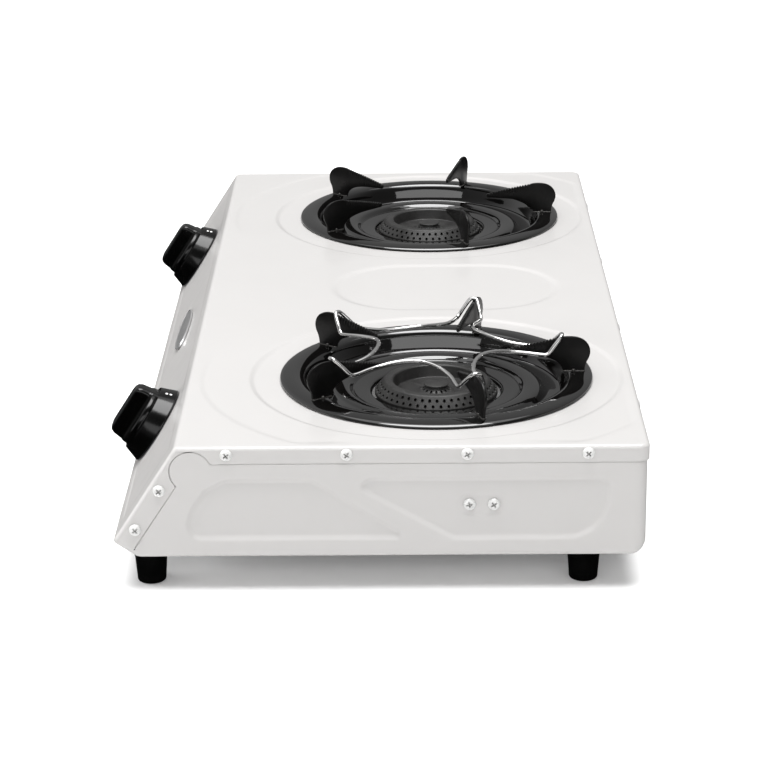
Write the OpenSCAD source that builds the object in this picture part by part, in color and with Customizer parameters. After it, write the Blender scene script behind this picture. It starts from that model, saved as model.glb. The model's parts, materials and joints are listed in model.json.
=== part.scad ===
// Two-burner tabletop gas stove.
// White enamelled casing, two lift-out black drip pans with five pot-support fins each,
// cast burners, tap valves on a common gas pipe, four rubber feet and a clip-on wire trivet.
// Millimetres. +Z up, +X to the cook's right, the knobs face -Y, the feet stand on z = 0.

/* [Casing] */
// Overall width of the casing
body_w = 690; // [660:10:720]
// Height of the flat deck above the table
deck_h = 100.7; // [98:0.1:104]
// Height of the casing's lower edge above the table
skirt_z = 24.2; // [22:0.1:26]
// Sheet thickness of the casing panels
sheet = 1; // [0.8:0.1:1.2]
// Angle of the slanted control panel from the horizontal
panel_angle = 57; // [56:0.5:58]

/* [Burners] */
// Distance between the two burner centres
burner_pitch = 408.2; // [400:1:420]
// Outer radius of a drip pan's rim
pan_r = 107.9; // [106:0.1:110]
// Number of flame ports in each of the two rows
ports = 48; // [24:4:48]

/* [Pot supports] */
// Number of fins on each drip pan
fins = 5; // [5:1:5]
// Thickness of a fin
fin_t = 2; // [1.6:0.1:2]
// Direction of the first fin
fin_a0 = 17; // [0:1:71]
// Diameter of the trivet wire
wire_d = 2.8; // [2.4:0.1:2.8]

/* [Controls] */
// Distance of the knob axis below the deck fold, along the panel
knob_s = 41.5; // [40:0.5:43]
// Radius of a knob
knob_r = 21.5; // [20:0.1:21.5]
// Push travel of a knob
push = 3; // [2:0.1:3]

/* [Feet] */
// Distance of the feet from the middle of the stove, sideways
foot_x = 323; // [321:1:325]

/* [Hidden] */
$fn = 64;

H = deck_h;
hw = body_w / 2;
bx = burner_pitch / 2;
ca = cos(panel_angle);
sa = sin(panel_angle);
y_fold = -171;            // a point on the slanted panel's outer face, at its top
z_fold = H - 2;
s_low = 75.7;             // length of the slanted panel below that point
flange_top = 11.5;        // depth of the cover's side flange under the deck
flange_slant = 14.4;      // width of the flange beside the slanted panel
y_rear = 135.2;           // outer face of the cover's rear flange
y_mid = -39.27;           // middle of the overall depth
screw_x = hw;
top_screws = [-136.8, -59.5, 18, 95.5];
rail_screws_y = [19.4, 35.2];
rail_z = 64;
beta = 9.44;              // rise of the mixing tube
h_valve = 25;             // depth of the valve's centre behind the panel
h_pipe = 44;              // depth of the gas pipe's axis behind the panel
pipe_r = 7;
feet_y = [-189.5, 95];
inlet_x = -300;

// a point on or off the slanted panel: s down the slope, h out of it
function pan_y(s, h) = y_fold - s * ca - h * sa;
function pan_z(s, h) = z_fold - s * sa + h * ca;
function pan(s, h) = [pan_y(s, h), pan_z(s, h)];
y_valve = pan_y(knob_s, -h_valve);
z_valve = pan_z(knob_s, -h_valve);
y_pipe = pan_y(knob_s, -h_pipe);
z_pipe = pan_z(knob_s, -h_pipe);
tube_len = -y_valve / cos(beta);

module at0() { translate([0, -y_mid, 0]) children(); }
module on_panel(x, s, h = 0) { translate([x, pan_y(s, h), pan_z(s, h)]) rotate([panel_angle, 0, 0]) children(); }
module along_tube(x) { translate([x, y_valve, z_valve]) rotate([-(90 - beta), 0, 0]) children(); }
// a profile in the Y-Z plane, extruded along X from x0 to x1
module yz(x0, x1) { translate([x0, 0, 0]) rotate([90, 0, 90]) linear_extrude(height = x1 - x0) children(); }
module ring(r1, r0, h) { difference() { cylinder(r = r1, h = h); translate([0, 0, -1]) cylinder(r = r0, h = h + 2); } }

// offsets a polyline sideways by t, by the mean direction at each point
function unit(v) = v / norm(v);
function tang(p, i) = unit(unit(p[min(i + 1, len(p) - 1)] - p[max(i - 1, 0)]));
function shifted(p, t) = [for (i = [0 : len(p) - 1]) p[i] + t * [tang(p, i)[1], -tang(p, i)[0]]];
function rev(p) = [for (i = [len(p) - 1 : -1 : 0]) p[i]];
function sheet_of(p, t) = concat(p, rev(shifted(p, t)));
function arc(cx, cy, r, a0, a1, n = 6) = [for (i = [0 : n]) let (a = a0 + (a1 - a0) * i / n) [cx + r * cos(a), cy + r * sin(a)]];

// ---------- casing ----------
slant_bottom = [pan_y(s_low, 0), pan_z(s_low, 0)];
slant_inner = [pan_y(s_low, -flange_slant), pan_z(s_low, -flange_slant)];
fold_r = 5;
fold_c = [y_fold + (fold_r + (2 - fold_r) * ca) / sa, H - fold_r];   // centre of the fold between deck and panel
cover_line = concat(
  [[pan_y(s_low, -11), pan_z(s_low, -11)], slant_bottom],
  arc(fold_c[0], fold_c[1], fold_r, 90 + panel_angle, 90, 6),
  [[y_rear - 0.01, H], [y_rear, H - flange_top]]);

module cover_flange() {
  difference() {
    polygon(concat([slant_bottom, slant_inner, [pan_y(2, -flange_slant), H - flange_top], [y_rear, H - flange_top], [y_rear, H - 0.5]],
      arc(fold_c[0], fold_c[1], fold_r - 0.5, 90, 90 + panel_angle, 6)));
    translate([-160, 84]) circle(r = 14);
  }
}
module top_cover() {
  color([0.93, 0.93, 0.91]) difference() {
    union() {
      difference() {
        yz(-hw, hw) polygon(sheet_of(cover_line, sheet));
        for (s = [-1, 1]) translate([s * bx, 0, H - 8]) cylinder(r = 128, h = 16);
      }
      for (s = [-1, 1]) yz(s > 0 ? hw - sheet : -hw, s > 0 ? hw : -hw + sheet) cover_flange();
      for (s = [-1, 1]) translate([s * bx, 0, H]) rotate_extrude() polygon(sheet_of(
        [[99, -5], [99, -2.2], [100, -1.2], [125, -1.2], [127.4, -0.3], [129.2, 0]], sheet));
    }
    for (s = [-1, 1]) on_panel(s * bx, knob_s, -3) cylinder(r = 12.2, h = 6);
    for (s = [-1, 1], y = top_screws) translate([s * (hw - 1), y, H - 5.2]) rotate([0, 90, 0]) cylinder(r = 2, h = 6, center = true);
    for (s = [-1, 1], q = [[-180.7, 71.2], [-197, 44.2]]) translate([s * (hw - 1), q[0], q[1]]) rotate([0, 90, 0]) cylinder(r = 2, h = 6, center = true);
    for (x = [-250, -85, 85, 250]) translate([x, y_rear, H - 7.2]) rotate([90, 0, 0]) cylinder(r = 2, h = 6, center = true);
  }
}

module panel_outline() {
  polygon(concat(arc(fold_c[0], fold_c[1], fold_r - 1.4, 90, 90 + panel_angle, 6), [pan(s_low - 1.5, -1.4), pan(s_low - 1.5, -12.5), pan(s_low + 1, -flange_slant), [-194.6, skirt_z]],
    arc(124, skirt_z + 10, 10, -90, 0, 5), [[134, H - 1.3]]));
}
module panel_face() {
  union() {
    polygon(concat([pan(2.3, -flange_slant - 0.4), pan(s_low + 0.3, -flange_slant - 0.4), [-194.6, skirt_z]],
      arc(124, skirt_z + 10, 10, -90, 0, 5), [[134, H - flange_top - 0.5]]));
    translate([-160, 84]) circle(r = 13.5);
  }
}
module rail_oval(g = 0) {
  hull() for (y = rail_screws_y) translate([y, 60]) circle(r = 7.4 + g, $fn = 32);
}
// the two pressed fields of a side panel, grown by g at every edge
function grown(p, g) = let (n = len(p)) [for (i = [0 : n - 1]) let (d = unit(unit(p[(i + 1) % n] - p[i]) + unit(p[i] - p[(i - 1 + n) % n]))) p[i] + g * [-d[1], d[0]]];
module recesses(g = 0) {
  polygon(grown([[-136, 76.5], [-83, 76.5], [-28, 41.5], [-29, 38.5], [-156, 38.5], [-162, 46], [-158.5, 58], [-150, 70]], g));
  polygon(grown([[-49, 74.5], [-45, 77], [102, 77], [107, 73], [107, 60], [101, 44.5], [88, 38.5], [12, 38.5], [-47, 70.5]], g));
}
module side_panel() {
  color([0.9, 0.9, 0.88]) difference() {
    union() {
      // border behind the cover's flange, and the floors of the pressed fields
      yz(hw - 2 * sheet, hw - sheet) difference() {
        panel_outline();
        difference() {
          polygon(concat([pan(7, -flange_slant - 2.4), pan(s_low, -flange_slant - 2.4), [-192, skirt_z + 1.5]],
            arc(121, skirt_z + 11.5, 10, -90, 0, 5), [[131, H - flange_top - 3]]));
          recesses(1.5);
        }
        rail_oval();
      }
      yz(hw - sheet, hw) difference() { panel_face(); recesses(); }
      // the oval behind the rail screws lies deeper
      yz(hw - 3 * sheet, hw - 2 * sheet) rail_oval(1);
      // lower flange and rear flange, turned inwards
      translate([hw - 36, -194, skirt_z]) cube([36 - sheet, 311, sheet]);
      translate([hw - 33, 132, skirt_z + 10]) cube([32, sheet, 62]);
    }
    for (y = top_screws) translate([hw - 1.5, y, H - 5.2]) rotate([0, 90, 0]) cylinder(r = 2, h = 6, center = true);
    for (q = [[-180.7, 71.2], [-197, 44.2]]) translate([hw - 1.5, q[0], q[1]]) rotate([0, 90, 0]) cylinder(r = 2, h = 6, center = true);
    for (y = rail_screws_y) translate([hw - 2.5, y, 60]) rotate([0, 90, 0]) cylinder(r = 2, h = 6, center = true);
    for (y = feet_y) translate([foot_x, y, skirt_z - 1]) cylinder(r = 2.2, h = 3);
    for (z = [45, 75]) translate([318, 130, z]) rotate([-90, 0, 0]) cylinder(r = 2, h = 6);
  }
}
module side_panel_right() { side_panel(); }
module side_panel_left() { mirror([1, 0, 0]) side_panel(); }

module rear_panel() {
  color([0.9, 0.9, 0.88]) difference() {
    union() {
      yz(-hw + 9, hw - 9) polygon(concat([[134, H - 1.3]], arc(124, skirt_z + 10, 10, 0, -90, 6), [[118, skirt_z]], [[118, skirt_z + sheet]], arc(124, skirt_z + 10, 9, -90, 0, 6), [[133, H - 1.3]]));
    }
    for (x = [-250, -85, 85, 250]) translate([x, 130, H - 7.2]) rotate([-90, 0, 0]) cylinder(r = 2, h = 6);
    for (s = [-1, 1], z = [45, 75]) translate([s * 318, 130, z]) rotate([-90, 0, 0]) cylinder(r = 2, h = 6);
    translate([inlet_x, 129, z_pipe]) rotate([-90, 0, 0]) cylinder(r = 12, h = 7);
    // air slots
    for (x = [-200 : 25 : 200]) translate([x - 2, 130, 50]) cube([4, 6, 30]);
  }
}

// pan-head screw along +Z: the head's underside lies at z = 0, the shank points down
module pan_screw(len = 7, r = 1.9, hr = 4, hh = 2.4) {
  difference() {
    union() {
      translate([0, 0, -len]) cylinder(r = r, h = len + 0.5);
      rotate_extrude() polygon([[0, 0], [hr, 0], [hr, 0.25 * hh], [0.94 * hr, 0.5 * hh], [0.8 * hr, 0.75 * hh], [0.58 * hr, 0.92 * hh], [0.3 * hr, hh], [0, hh]]);
    }
    for (a = [0, 90]) rotate([0, 0, a]) translate([-hr / 2, -0.11 * hr, hh / 2]) cube([hr, 0.22 * hr, 2]);
  }
}
module cover_screws() {
  color([0.86, 0.86, 0.84]) for (s = [-1, 1]) {
    for (y = top_screws) translate([s * hw, y, H - 5.2]) rotate([0, s * 90, 0]) pan_screw();
    for (q = [[-180.7, 71.2], [-197, 44.2]]) translate([s * hw, q[0], q[1]]) rotate([0, s * 90, 0]) pan_screw();
  }
}
module rail_screws() {
  color([0.86, 0.86, 0.84]) for (s = [-1, 1], y = rail_screws_y) translate([s * (hw - 2 * sheet), y, 60]) rotate([0, s * 90, 0]) pan_screw(6);
}
module rear_screws() {
  color([0.86, 0.86, 0.84]) {
    for (x = [-250, -85, 85, 250]) translate([x, y_rear, H - 7.2]) rotate([-90, 0, 0]) pan_screw(hh = 1.8);
    for (s = [-1, 1], z = [45, 75]) translate([s * 318, 134, z]) rotate([-90, 0, 0]) pan_screw(6, hh = 1.8);
  }
}
module badge() {
  color([0.72, 0.73, 0.74]) on_panel(3, 36.5, 0) linear_extrude(height = 1.4) polygon([for (i = [0 : 63]) [42 * cos(i * 360 / 64), 10.4 * sin(i * 360 / 64)]]);
}

// ---------- feet ----------
module each_foot() { for (s = [-1, 1], y = feet_y) translate([s * foot_x, y, 0]) children(); }
module feet() {
  color([0.06, 0.06, 0.06]) each_foot() difference() {
    rotate_extrude() polygon(concat([[0, 0]], arc(7.8, 1.6, 1.6, -90, 0, 4), [[11, skirt_z - 3], [11, skirt_z], [0, skirt_z]]));
    translate([0, 0, -1]) cylinder(r = 5, h = 7);
    cylinder(r = 2.2, h = 40);
  }
}
module foot_screws() {
  color([0.7, 0.7, 0.7]) each_foot() translate([0, 0, 6]) rotate([180, 0, 0]) pan_screw(24, 2, 4, 2.4);
}
module foot_nuts() {
  color([0.7, 0.7, 0.7]) each_foot() translate([0, 0, skirt_z + sheet]) difference() {
    cylinder(r = 4.04, h = 3.2, $fn = 6);
    translate([0, 0, -1]) cylinder(r = 2.05, h = 6);
  }
}

// ---------- burner support ----------
module support_rail() {
  color([0.66, 0.67, 0.68]) difference() {
    union() {
      translate([-hw + 3 * sheet + 0.3, -4, rail_z - 1.5]) cube([body_w - 6 * sheet - 0.6, 48, 1.5]);
      for (y = [-4, 42.5]) translate([-hw + 20, y, rail_z - 10]) cube([body_w - 40, 1.5, 10]);
      for (s = [-1, 1]) translate([s > 0 ? hw - 4.5 : -hw + 3, 12, rail_z - 12]) cube([1.5, 30, 12]);
    }
    for (s = [-1, 1], y = rail_screws_y) translate([s * (hw - 4), y, 60]) rotate([0, 90, 0]) cylinder(r = 1.95, h = 6, center = true);
    for (s = [-1, 1], d = [-22, 22]) translate([s * bx + d, 20, rail_z - 3]) cylinder(r = 2.1, h = 6);
  }
}
bowl_top = H - 12.4;
module burner_body(x) {
  color([0.2, 0.2, 0.2]) difference() {
    union() {
      translate([x, 0, 0]) rotate_extrude() polygon([[0, rail_z], [33, rail_z], [38, rail_z + 5], [40, bowl_top - 3], [40, bowl_top], [0, bowl_top]]);
      along_tube(x) translate([0, 0, 37]) cylinder(r = 10.5, h = tube_len - 37 - 18);
      along_tube(x) translate([0, 0, 37]) cylinder(r = 13, h = 18);
      along_tube(x) translate([0, 0, 55]) cylinder(r1 = 13, r2 = 10.5, h = 7);
    }
    translate([x, 0, rail_z + 4]) cylinder(r = 36.8, h = 40);
    along_tube(x) translate([0, 0, 36]) cylinder(r = 8, h = tube_len - 36 - 20);
    along_tube(x) translate([0, 0, 36]) cylinder(r1 = 11.2, r2 = 8, h = 19.5);
    // air windows in the bell
    along_tube(x) for (a = [0, 180]) rotate([0, 0, a]) translate([8, -5, 41]) cube([8, 10, 9]);
    for (d = [-22, 22]) translate([x + d, 20, rail_z - 1]) cylinder(r = 1.75, h = 4.2);
  }
}
module burner_body_right() { burner_body(bx); }
module burner_body_left() { burner_body(-bx); }
module burner_screws() {
  color([0.7, 0.7, 0.7]) for (s = [-1, 1], d = [-22, 22]) translate([s * bx + d, 20, rail_z - 1.5]) rotate([180, 0, 0]) pan_screw(4.2, 1.7, 3.8, 2.3);
}
module air_shutter(x) {
  color([0.62, 0.62, 0.6]) along_tube(x) difference() {
    union() {
      translate([0, 0, 39.5]) ring(14.2, 13.06, 12);
      translate([-14, 11.5, 44]) rotate([0, 0, 45]) cube([1.2, 9, 5]);
    }
    for (a = [0, 180]) rotate([0, 0, a]) translate([8, -5, 41.5]) cube([10, 10, 8]);
    translate([0, 0, 30]) cylinder(r = 13.06, h = 40);
  }
}
module air_shutter_right() { air_shutter(bx); }
module air_shutter_left() { air_shutter(-bx); }

module burner_head(x) {
  color([0.17, 0.17, 0.17]) translate([x, 0, H]) difference() {
    rotate_extrude() polygon([[9.4, -14], [12.5, -14], [12.5, -12.2], [31, -12.2], [31, -5.15], [33.4, -5.15], [38.4, -10.2], [38.4, -10.6], [34.4, -10.6], [34.4, -16], [36.4, -16], [36.4, -12], [41, -12], [41, -13.6],
      [42.5, -13.6], [42.5, -11.2], [42.1, -10.6], [36.2, -3.9], [35.3, -3.4], [30.6, -3.4], [29.8, -4.2], [28.6, -10], [9.4, -10]]);
    // flame ports
    for (i = [0 : ports - 1]) {
      rotate([0, 0, i * 360 / ports]) translate([36, 0, -6.4]) rotate([0, 90, 0]) cylinder(r = 1, h = 7, center = true);
      rotate([0, 0, (i + 0.5) * 360 / ports]) translate([39, 0, -9.5]) rotate([0, 90, 0]) cylinder(r = 1, h = 7, center = true);
    }
  }
}
module burner_head_right() { burner_head(bx); }
module burner_head_left() { burner_head(-bx); }
module burner_cap(x) {
  color([0.2, 0.2, 0.2]) translate([x, 0, H]) difference() {
    rotate_extrude() polygon([[0, -6.2], [8, -6.2], [8.7, -6.6], [8.7, -7.3], [7.7, -7.7], [8.4, -8.4], [12.8, -9.6], [12.8, -9.95], [9.1, -9.95], [9.1, -15], [6.6, -15], [6.6, -8.8], [0, -7.6]]);
    for (i = [0 : 15]) rotate([0, 0, i * 22.5]) translate([9.2, 0, -9.1]) rotate([0, 90, 0]) cylinder(r = 0.5, h = 7, center = true);
  }
}
module burner_cap_right() { burner_cap(bx); }
module burner_cap_left() { burner_cap(-bx); }

// ---------- drip pans, fins and trivet ----------
pan_line = [[pan_r, -0.3], [107.2, 0.9], [105, 1.9], [101, 2.5], [97.5, 2.6], [94.5, 2.2], [92, 1.1], [90.4, -0.8], [89, -4.5], [87.4, -9], [86, -11.4],
  [83.6, -12.4], [78.4, -12.5], [75.6, -11.8], [73.4, -9.6], [71.4, -7.6], [68.6, -6.8], [63.4, -6.8], [60.4, -7.4], [58.6, -8.9], [57.4, -10.1], [56, -10], [50, -10.4], [46.4, -10.8], [45.2, -11.7], [44.9, -13.4]];
module drip_pan(x) {
  color([0.03, 0.03, 0.03]) translate([x, 0, H]) rotate_extrude() polygon(sheet_of(pan_line, -0.8));
}
module drip_pan_right() { drip_pan(bx); }
module drip_pan_left() { drip_pan(-bx); }

function fin_top(r) = 18.7 + 0.245 * (r - 49.3) - 0.0007 * pow(r - 49.3, 2);
teeth = 14;
fin_profile = concat(
  [[48.7, 15], [49.3, fin_top(49.3)]],
  [for (i = [0 : 2 * teeth]) let (r = 50 + i * (84.6 - 50) / (2 * teeth)) [r, fin_top(r) - (i % 2 == 0 ? 0.9 : 0)]],
  [[85.2, 26.5], [91, 26.9], [97, 26.3], [101.3, 24.6], [104.5, 21.3], [106, 17], [105.7, 13.3], [103.3, 9], [102.5, 6], [102.3, 2.1],
   [87.2, 2.1], [86.6, 4.4], [84.5, 7.6], [80, 10.6], [72, 12.9], [60, 14.3]]);
module pan_fins(x) {
  color([0.07, 0.07, 0.07]) translate([x, 0, H]) for (k = [0 : fins - 1]) rotate([0, 0, fin_a0 + k * 360 / fins])
    translate([0, fin_t / 2, 0]) rotate([90, 0, 0]) linear_extrude(height = fin_t) polygon(fin_profile);
}
module pan_fins_right() { pan_fins(bx); }
module pan_fins_left() { pan_fins(-bx); }

// half of one lobe of the wire, from its apex over a fin to the middle of the gap:
// distance along the fin, distance beside it, height above the deck
half = [[86.5, 0, 28.7], [86.1, 2.1, 28.2], [84.6, 3.7, 26.4], [80.6, 6.3, 21.9], [76.6, 8.5, 17.4], [72, 9, 17], [62, 8.6, 18.1], [53, 9.5, 19.2], [44.9, 12.4, 20.6], [37.8, 17, 21.7]];
mid = [39.5 * cos(36), 39.5 * sin(36), 22.3];
lobe = concat([[mid[0], -mid[1], mid[2]]], [for (i = [len(half) - 1 : -1 : 1]) [half[i][0], -half[i][1], half[i][2]]], half);
wire_pts = [for (k = [0 : fins - 1]) let (a = fin_a0 + k * 72) for (p = lobe) [p[0] * cos(a) - p[1] * sin(a), p[0] * sin(a) + p[1] * cos(a), p[2]]];
nw = len(wire_pts);
function cr(i, t) = let (a = wire_pts[(i - 1 + nw) % nw], b = wire_pts[i], c = wire_pts[(i + 1) % nw], d = wire_pts[(i + 2) % nw])
  0.5 * (2 * b + (c - a) * t + (2 * a - 5 * b + 4 * c - d) * t * t + (-a + 3 * b - 3 * c + d) * t * t * t);
wsub = 2;
sides = 8;
path = [for (i = [0 : nw - 1], j = [0 : wsub - 1]) cr(i, j / wsub)];
np = len(path);
function rim(i, q) = let (t = unit(path[(i + 1) % np] - path[(i - 1 + np) % np]), n = unit(cross(t, [0, 0, 1])), u = cross(n, t), a = q * 360 / sides)
  path[i] + wire_d / 2 * (cos(a) * n + sin(a) * u);
module wire_trivet() {
  color([0.8, 0.8, 0.82]) translate([bx, 0, H]) polyhedron(
    points = [for (i = [0 : np - 1], q = [0 : sides - 1]) rim(i, q)],
    faces = [for (i = [0 : np - 1], q = [0 : sides - 1]) for (f = [0, 1])
      let (a = i * sides + q, b = i * sides + (q + 1) % sides, c = ((i + 1) % np) * sides + (q + 1) % sides, d = ((i + 1) % np) * sides + q)
      f == 0 ? [a, b, c] : [a, c, d]]);
}

// ---------- gas supply ----------
module pipe_shape(r) {
  translate([inlet_x + 20, y_pipe, z_pipe]) rotate([0, 90, 0]) cylinder(r = r, h = bx + 24 - (inlet_x + 20));
  translate([inlet_x + 20, y_pipe + 20, z_pipe]) rotate([0, 0, 180]) rotate_extrude(angle = 90) translate([20, 0]) circle(r = r);
  translate([inlet_x, y_pipe + 20, z_pipe]) rotate([-90, 0, 0]) cylinder(r = r, h = 110 - (y_pipe + 20));
}
module gas_pipe() {
  color([0.7, 0.7, 0.7]) difference() {
    pipe_shape(pipe_r);
    pipe_shape(5.4);
    for (s = [-1, 1]) on_panel(s * bx, knob_s, -h_pipe) cylinder(r = 3.6, h = 12);
    translate([bx + 20, y_pipe, z_pipe]) rotate([0, 90, 0]) cylinder(r = 5.4, h = 10);
    translate([inlet_x, 102, z_pipe]) rotate([-90, 0, 0]) cylinder(r = 5.4, h = 20);
  }
}
module pipe_plug() {
  color([0.75, 0.6, 0.3]) translate([bx + 24, y_pipe, z_pipe]) rotate([0, 90, 0]) union() {
    translate([0, 0, -8]) cylinder(r = 5.4, h = 8);
    cylinder(r = 8, h = 4, $fn = 6);
  }
}
module hose_nipple() {
  color([0.78, 0.62, 0.3]) translate([inlet_x, 110, z_pipe]) rotate([-90, 0, 0]) difference() {
    union() {
      translate([0, 0, -8]) cylinder(r = 5.4, h = 8.1);
      cylinder(r = 8.5, h = 12, $fn = 6);
      translate([0, 0, 12]) cylinder(r = 6.5, h = 5);
      translate([0, 0, 17]) cylinder(r = 4.75, h = 18);
      translate([0, 0, 35]) cylinder(r1 = 4.75, r2 = 3.9, h = 2.2);
    }
    translate([0, 0, -10]) cylinder(r = 2.6, h = 60);
  }
}
module pipe_brackets() {
  color([0.66, 0.67, 0.68]) for (x = [-110, 110]) difference() {
    union() {
      on_panel(x, knob_s, -sheet - 1.5) translate([0, -9, 0]) cube([16, 18, 1.5]);
      on_panel(x, knob_s, -h_pipe) translate([0, -9, 0]) cube([1.5, 18, h_pipe - sheet - 0.5]);
      translate([x, y_pipe, z_pipe]) rotate([0, 90, 0]) cylinder(r = 11, h = 1.5);
    }
    translate([x - 1, y_pipe, z_pipe]) rotate([0, 90, 0]) cylinder(r = pipe_r, h = 5);
  }
}
module injectors() {
  color([0.8, 0.64, 0.32]) for (s = [-1, 1]) along_tube(s * bx) translate([0, 0, 15.2]) difference() {
    union() {
      cylinder(r = 4.6, h = 5, $fn = 6);
      translate([0, 0, 5]) cylinder(r1 = 3.2, r2 = 2.2, h = 6);
    }
    translate([0, 0, -1]) cylinder(r = 1.4, h = 9);
    cylinder(r = 0.5, h = 20);
  }
}

// ---------- tap valves ----------
// local frame: the valve's axis is +Z, the panel's outer face is z = 0
module valve_body(x) {
  color([0.74, 0.6, 0.32]) difference() {
    union() {
      on_panel(x, knob_s, 0) translate([0, 0, -34]) cylinder(r = 10, h = 24);
      on_panel(x, knob_s, 0) translate([0, 0, -37.6]) cylinder(r = 5, h = 4);
      on_panel(x, knob_s, 0) translate([-15, -6, -13]) cube([30, 12, 3]);
      along_tube(x) cylinder(r = 5.5, h = 15.2);
    }
    on_panel(x, knob_s, 0) translate([0, 0, -31]) cylinder(r1 = 5.05, r2 = 6.05, h = 14);
    on_panel(x, knob_s, 0) translate([0, 0, -17.1]) cylinder(r = 6.4, h = 8);
    on_panel(x, knob_s, 0) translate([0, 0, -40]) cylinder(r = 3, h = 10);
    along_tube(x) cylinder(r = 1.8, h = 17);
    on_panel(x, knob_s, 0) for (d = [-12.6, 12.6]) translate([d, 0, -14]) cylinder(r = 1.4, h = 6);
    translate([x - 20, y_pipe, z_pipe]) rotate([0, 90, 0]) cylinder(r = pipe_r, h = 40);
  }
}
module valve_body_right() { valve_body(bx); }
module valve_body_left() { valve_body(-bx); }
module valve_bonnet(x) {
  color([0.7, 0.7, 0.7]) on_panel(x, knob_s, 0) difference() {
    union() {
      translate([-15, -6, -10]) cube([30, 12, 1.5]);
      translate([0, 0, -10]) cylinder(r = 8, h = 6);
    }
    translate([0, 0, -11]) cylinder(r = 6.4, h = 5.4);
    translate([0, 0, -11]) cylinder(r = 3.35, h = 12);
    for (d = [-12.6, 12.6]) translate([d, 0, -12]) cylinder(r = 1.6, h = 6);
  }
}
module valve_bonnet_right() { valve_bonnet(bx); }
module valve_bonnet_left() { valve_bonnet(-bx); }
module bonnet_screws() {
  color([0.8, 0.8, 0.8]) for (s = [-1, 1]) on_panel(s * bx, knob_s, 0) for (d = [-12.6, 12.6]) translate([d, 0, -8.5]) pan_screw(4.5, 1.35, 2.6, 1.9);
}
module valve_plug(x) {
  color([0.8, 0.66, 0.38]) on_panel(x, knob_s, 0) difference() {
    translate([0, 0, -30.9]) cylinder(r1 = 5.0, r2 = 5.98, h = 13.72);
    // slot for the spindle's tongue and the gas way
    translate([-4, -1.1, -24]) cube([8, 2.2, 10]);
    translate([0, 0, -32]) cylinder(r = 2, h = 5);
    translate([0, 0, -29.5]) rotate([90, 0, 0]) cylinder(r = 1, h = 8);
  }
}
module valve_plug_right() { valve_plug(bx); }
module valve_plug_left() { valve_plug(-bx); }
module spindle(x) {
  color([0.75, 0.75, 0.74]) on_panel(x, knob_s, 0) difference() {
    union() {
      translate([0, 0, -13.5]) cylinder(r = 3, h = 31.5);
      translate([0, 0, -13.5]) cylinder(r = 5, h = 2.2);
      translate([-3.2, -0.85, -19.6]) cube([6.4, 1.7, 6.6]);
    }
    translate([-4, 2, 6]) cube([8, 3, 20]);
  }
}
module spindle_right() { spindle(bx); }
module spindle_left() { spindle(-bx); }

// ---------- knobs ----------
module knob_bezel(x) {
  color([0.05, 0.05, 0.05]) on_panel(x, knob_s, 0) rotate_extrude() polygon([[25.6, 0], [28, 0], [28, 0.8], [23.8, 12], [21.9, 12], [21.9, 6.4], [11.4, 6.4], [11.4, 4.4], [22.4, 4.4], [23.6, 3.4]]);
}
module knob_bezel_right() { knob_bezel(bx); }
module knob_bezel_left() { knob_bezel(-bx); }
module knob(x) {
  color([0.05, 0.05, 0.05]) on_panel(x, knob_s, 0) difference() {
    union() {
      translate([0, 0, 2]) cylinder(r = 10.8, h = 9);
      translate([0, 0, 9.9]) rotate_extrude() polygon([[0, 0], [knob_r - 0.4, 0], [knob_r - 0.1, 4], [knob_r - 0.8, 5.8], [knob_r - 2, 6.4], [0, 6.4]]);
      hull() {
        for (a = [-1, 1], b = [-1, 1]) {
          translate([a * 5.6, b * (knob_r - 2.6), 15]) cylinder(r = 1.6, h = 1, $fn = 32);
          translate([a * 3.9, b * (knob_r - 6.8), 25.2]) sphere(r = 3, $fn = 32);
        }
      }
    }
    translate([0, 0, 1]) difference() {
      cylinder(r = 3.05, h = 17.5);
      translate([-4, 2.05, 5]) cube([8, 3, 20]);
    }
  }
}
module knob_right() { knob(bx); }
module knob_left() { knob(-bx); }

at0() top_cover();
at0() side_panel_right();
at0() side_panel_left();
at0() rear_panel();
at0() cover_screws();
at0() rear_screws();
at0() rail_screws();
at0() badge();
at0() feet();
at0() foot_screws();
at0() foot_nuts();
at0() support_rail();
at0() burner_body_right();
at0() burner_body_left();
at0() burner_screws();
at0() burner_head_right();
at0() burner_head_left();
at0() burner_cap_right();
at0() burner_cap_left();
at0() air_shutter_right();
at0() air_shutter_left();
at0() drip_pan_right();
at0() drip_pan_left();
at0() pan_fins_right();
at0() pan_fins_left();
at0() wire_trivet();
at0() gas_pipe();
at0() pipe_plug();
at0() hose_nipple();
at0() pipe_brackets();
at0() valve_body_right();
at0() valve_body_left();
at0() valve_bonnet_right();
at0() valve_bonnet_left();
at0() bonnet_screws();
at0() valve_plug_right();
at0() valve_plug_left();
at0() spindle_right();
at0() spindle_left();
at0() injectors();
at0() knob_bezel_right();
at0() knob_bezel_left();
at0() knob_right();
at0() knob_left();
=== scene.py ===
# Two-burner tabletop gas stove: the looks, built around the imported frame.
# Lengths inside the helpers are millimetres, with y measured from the line through the two burners.
import json
import math

import bmesh
import bpy
import numpy as np
from mathutils import Matrix, Vector


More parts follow.
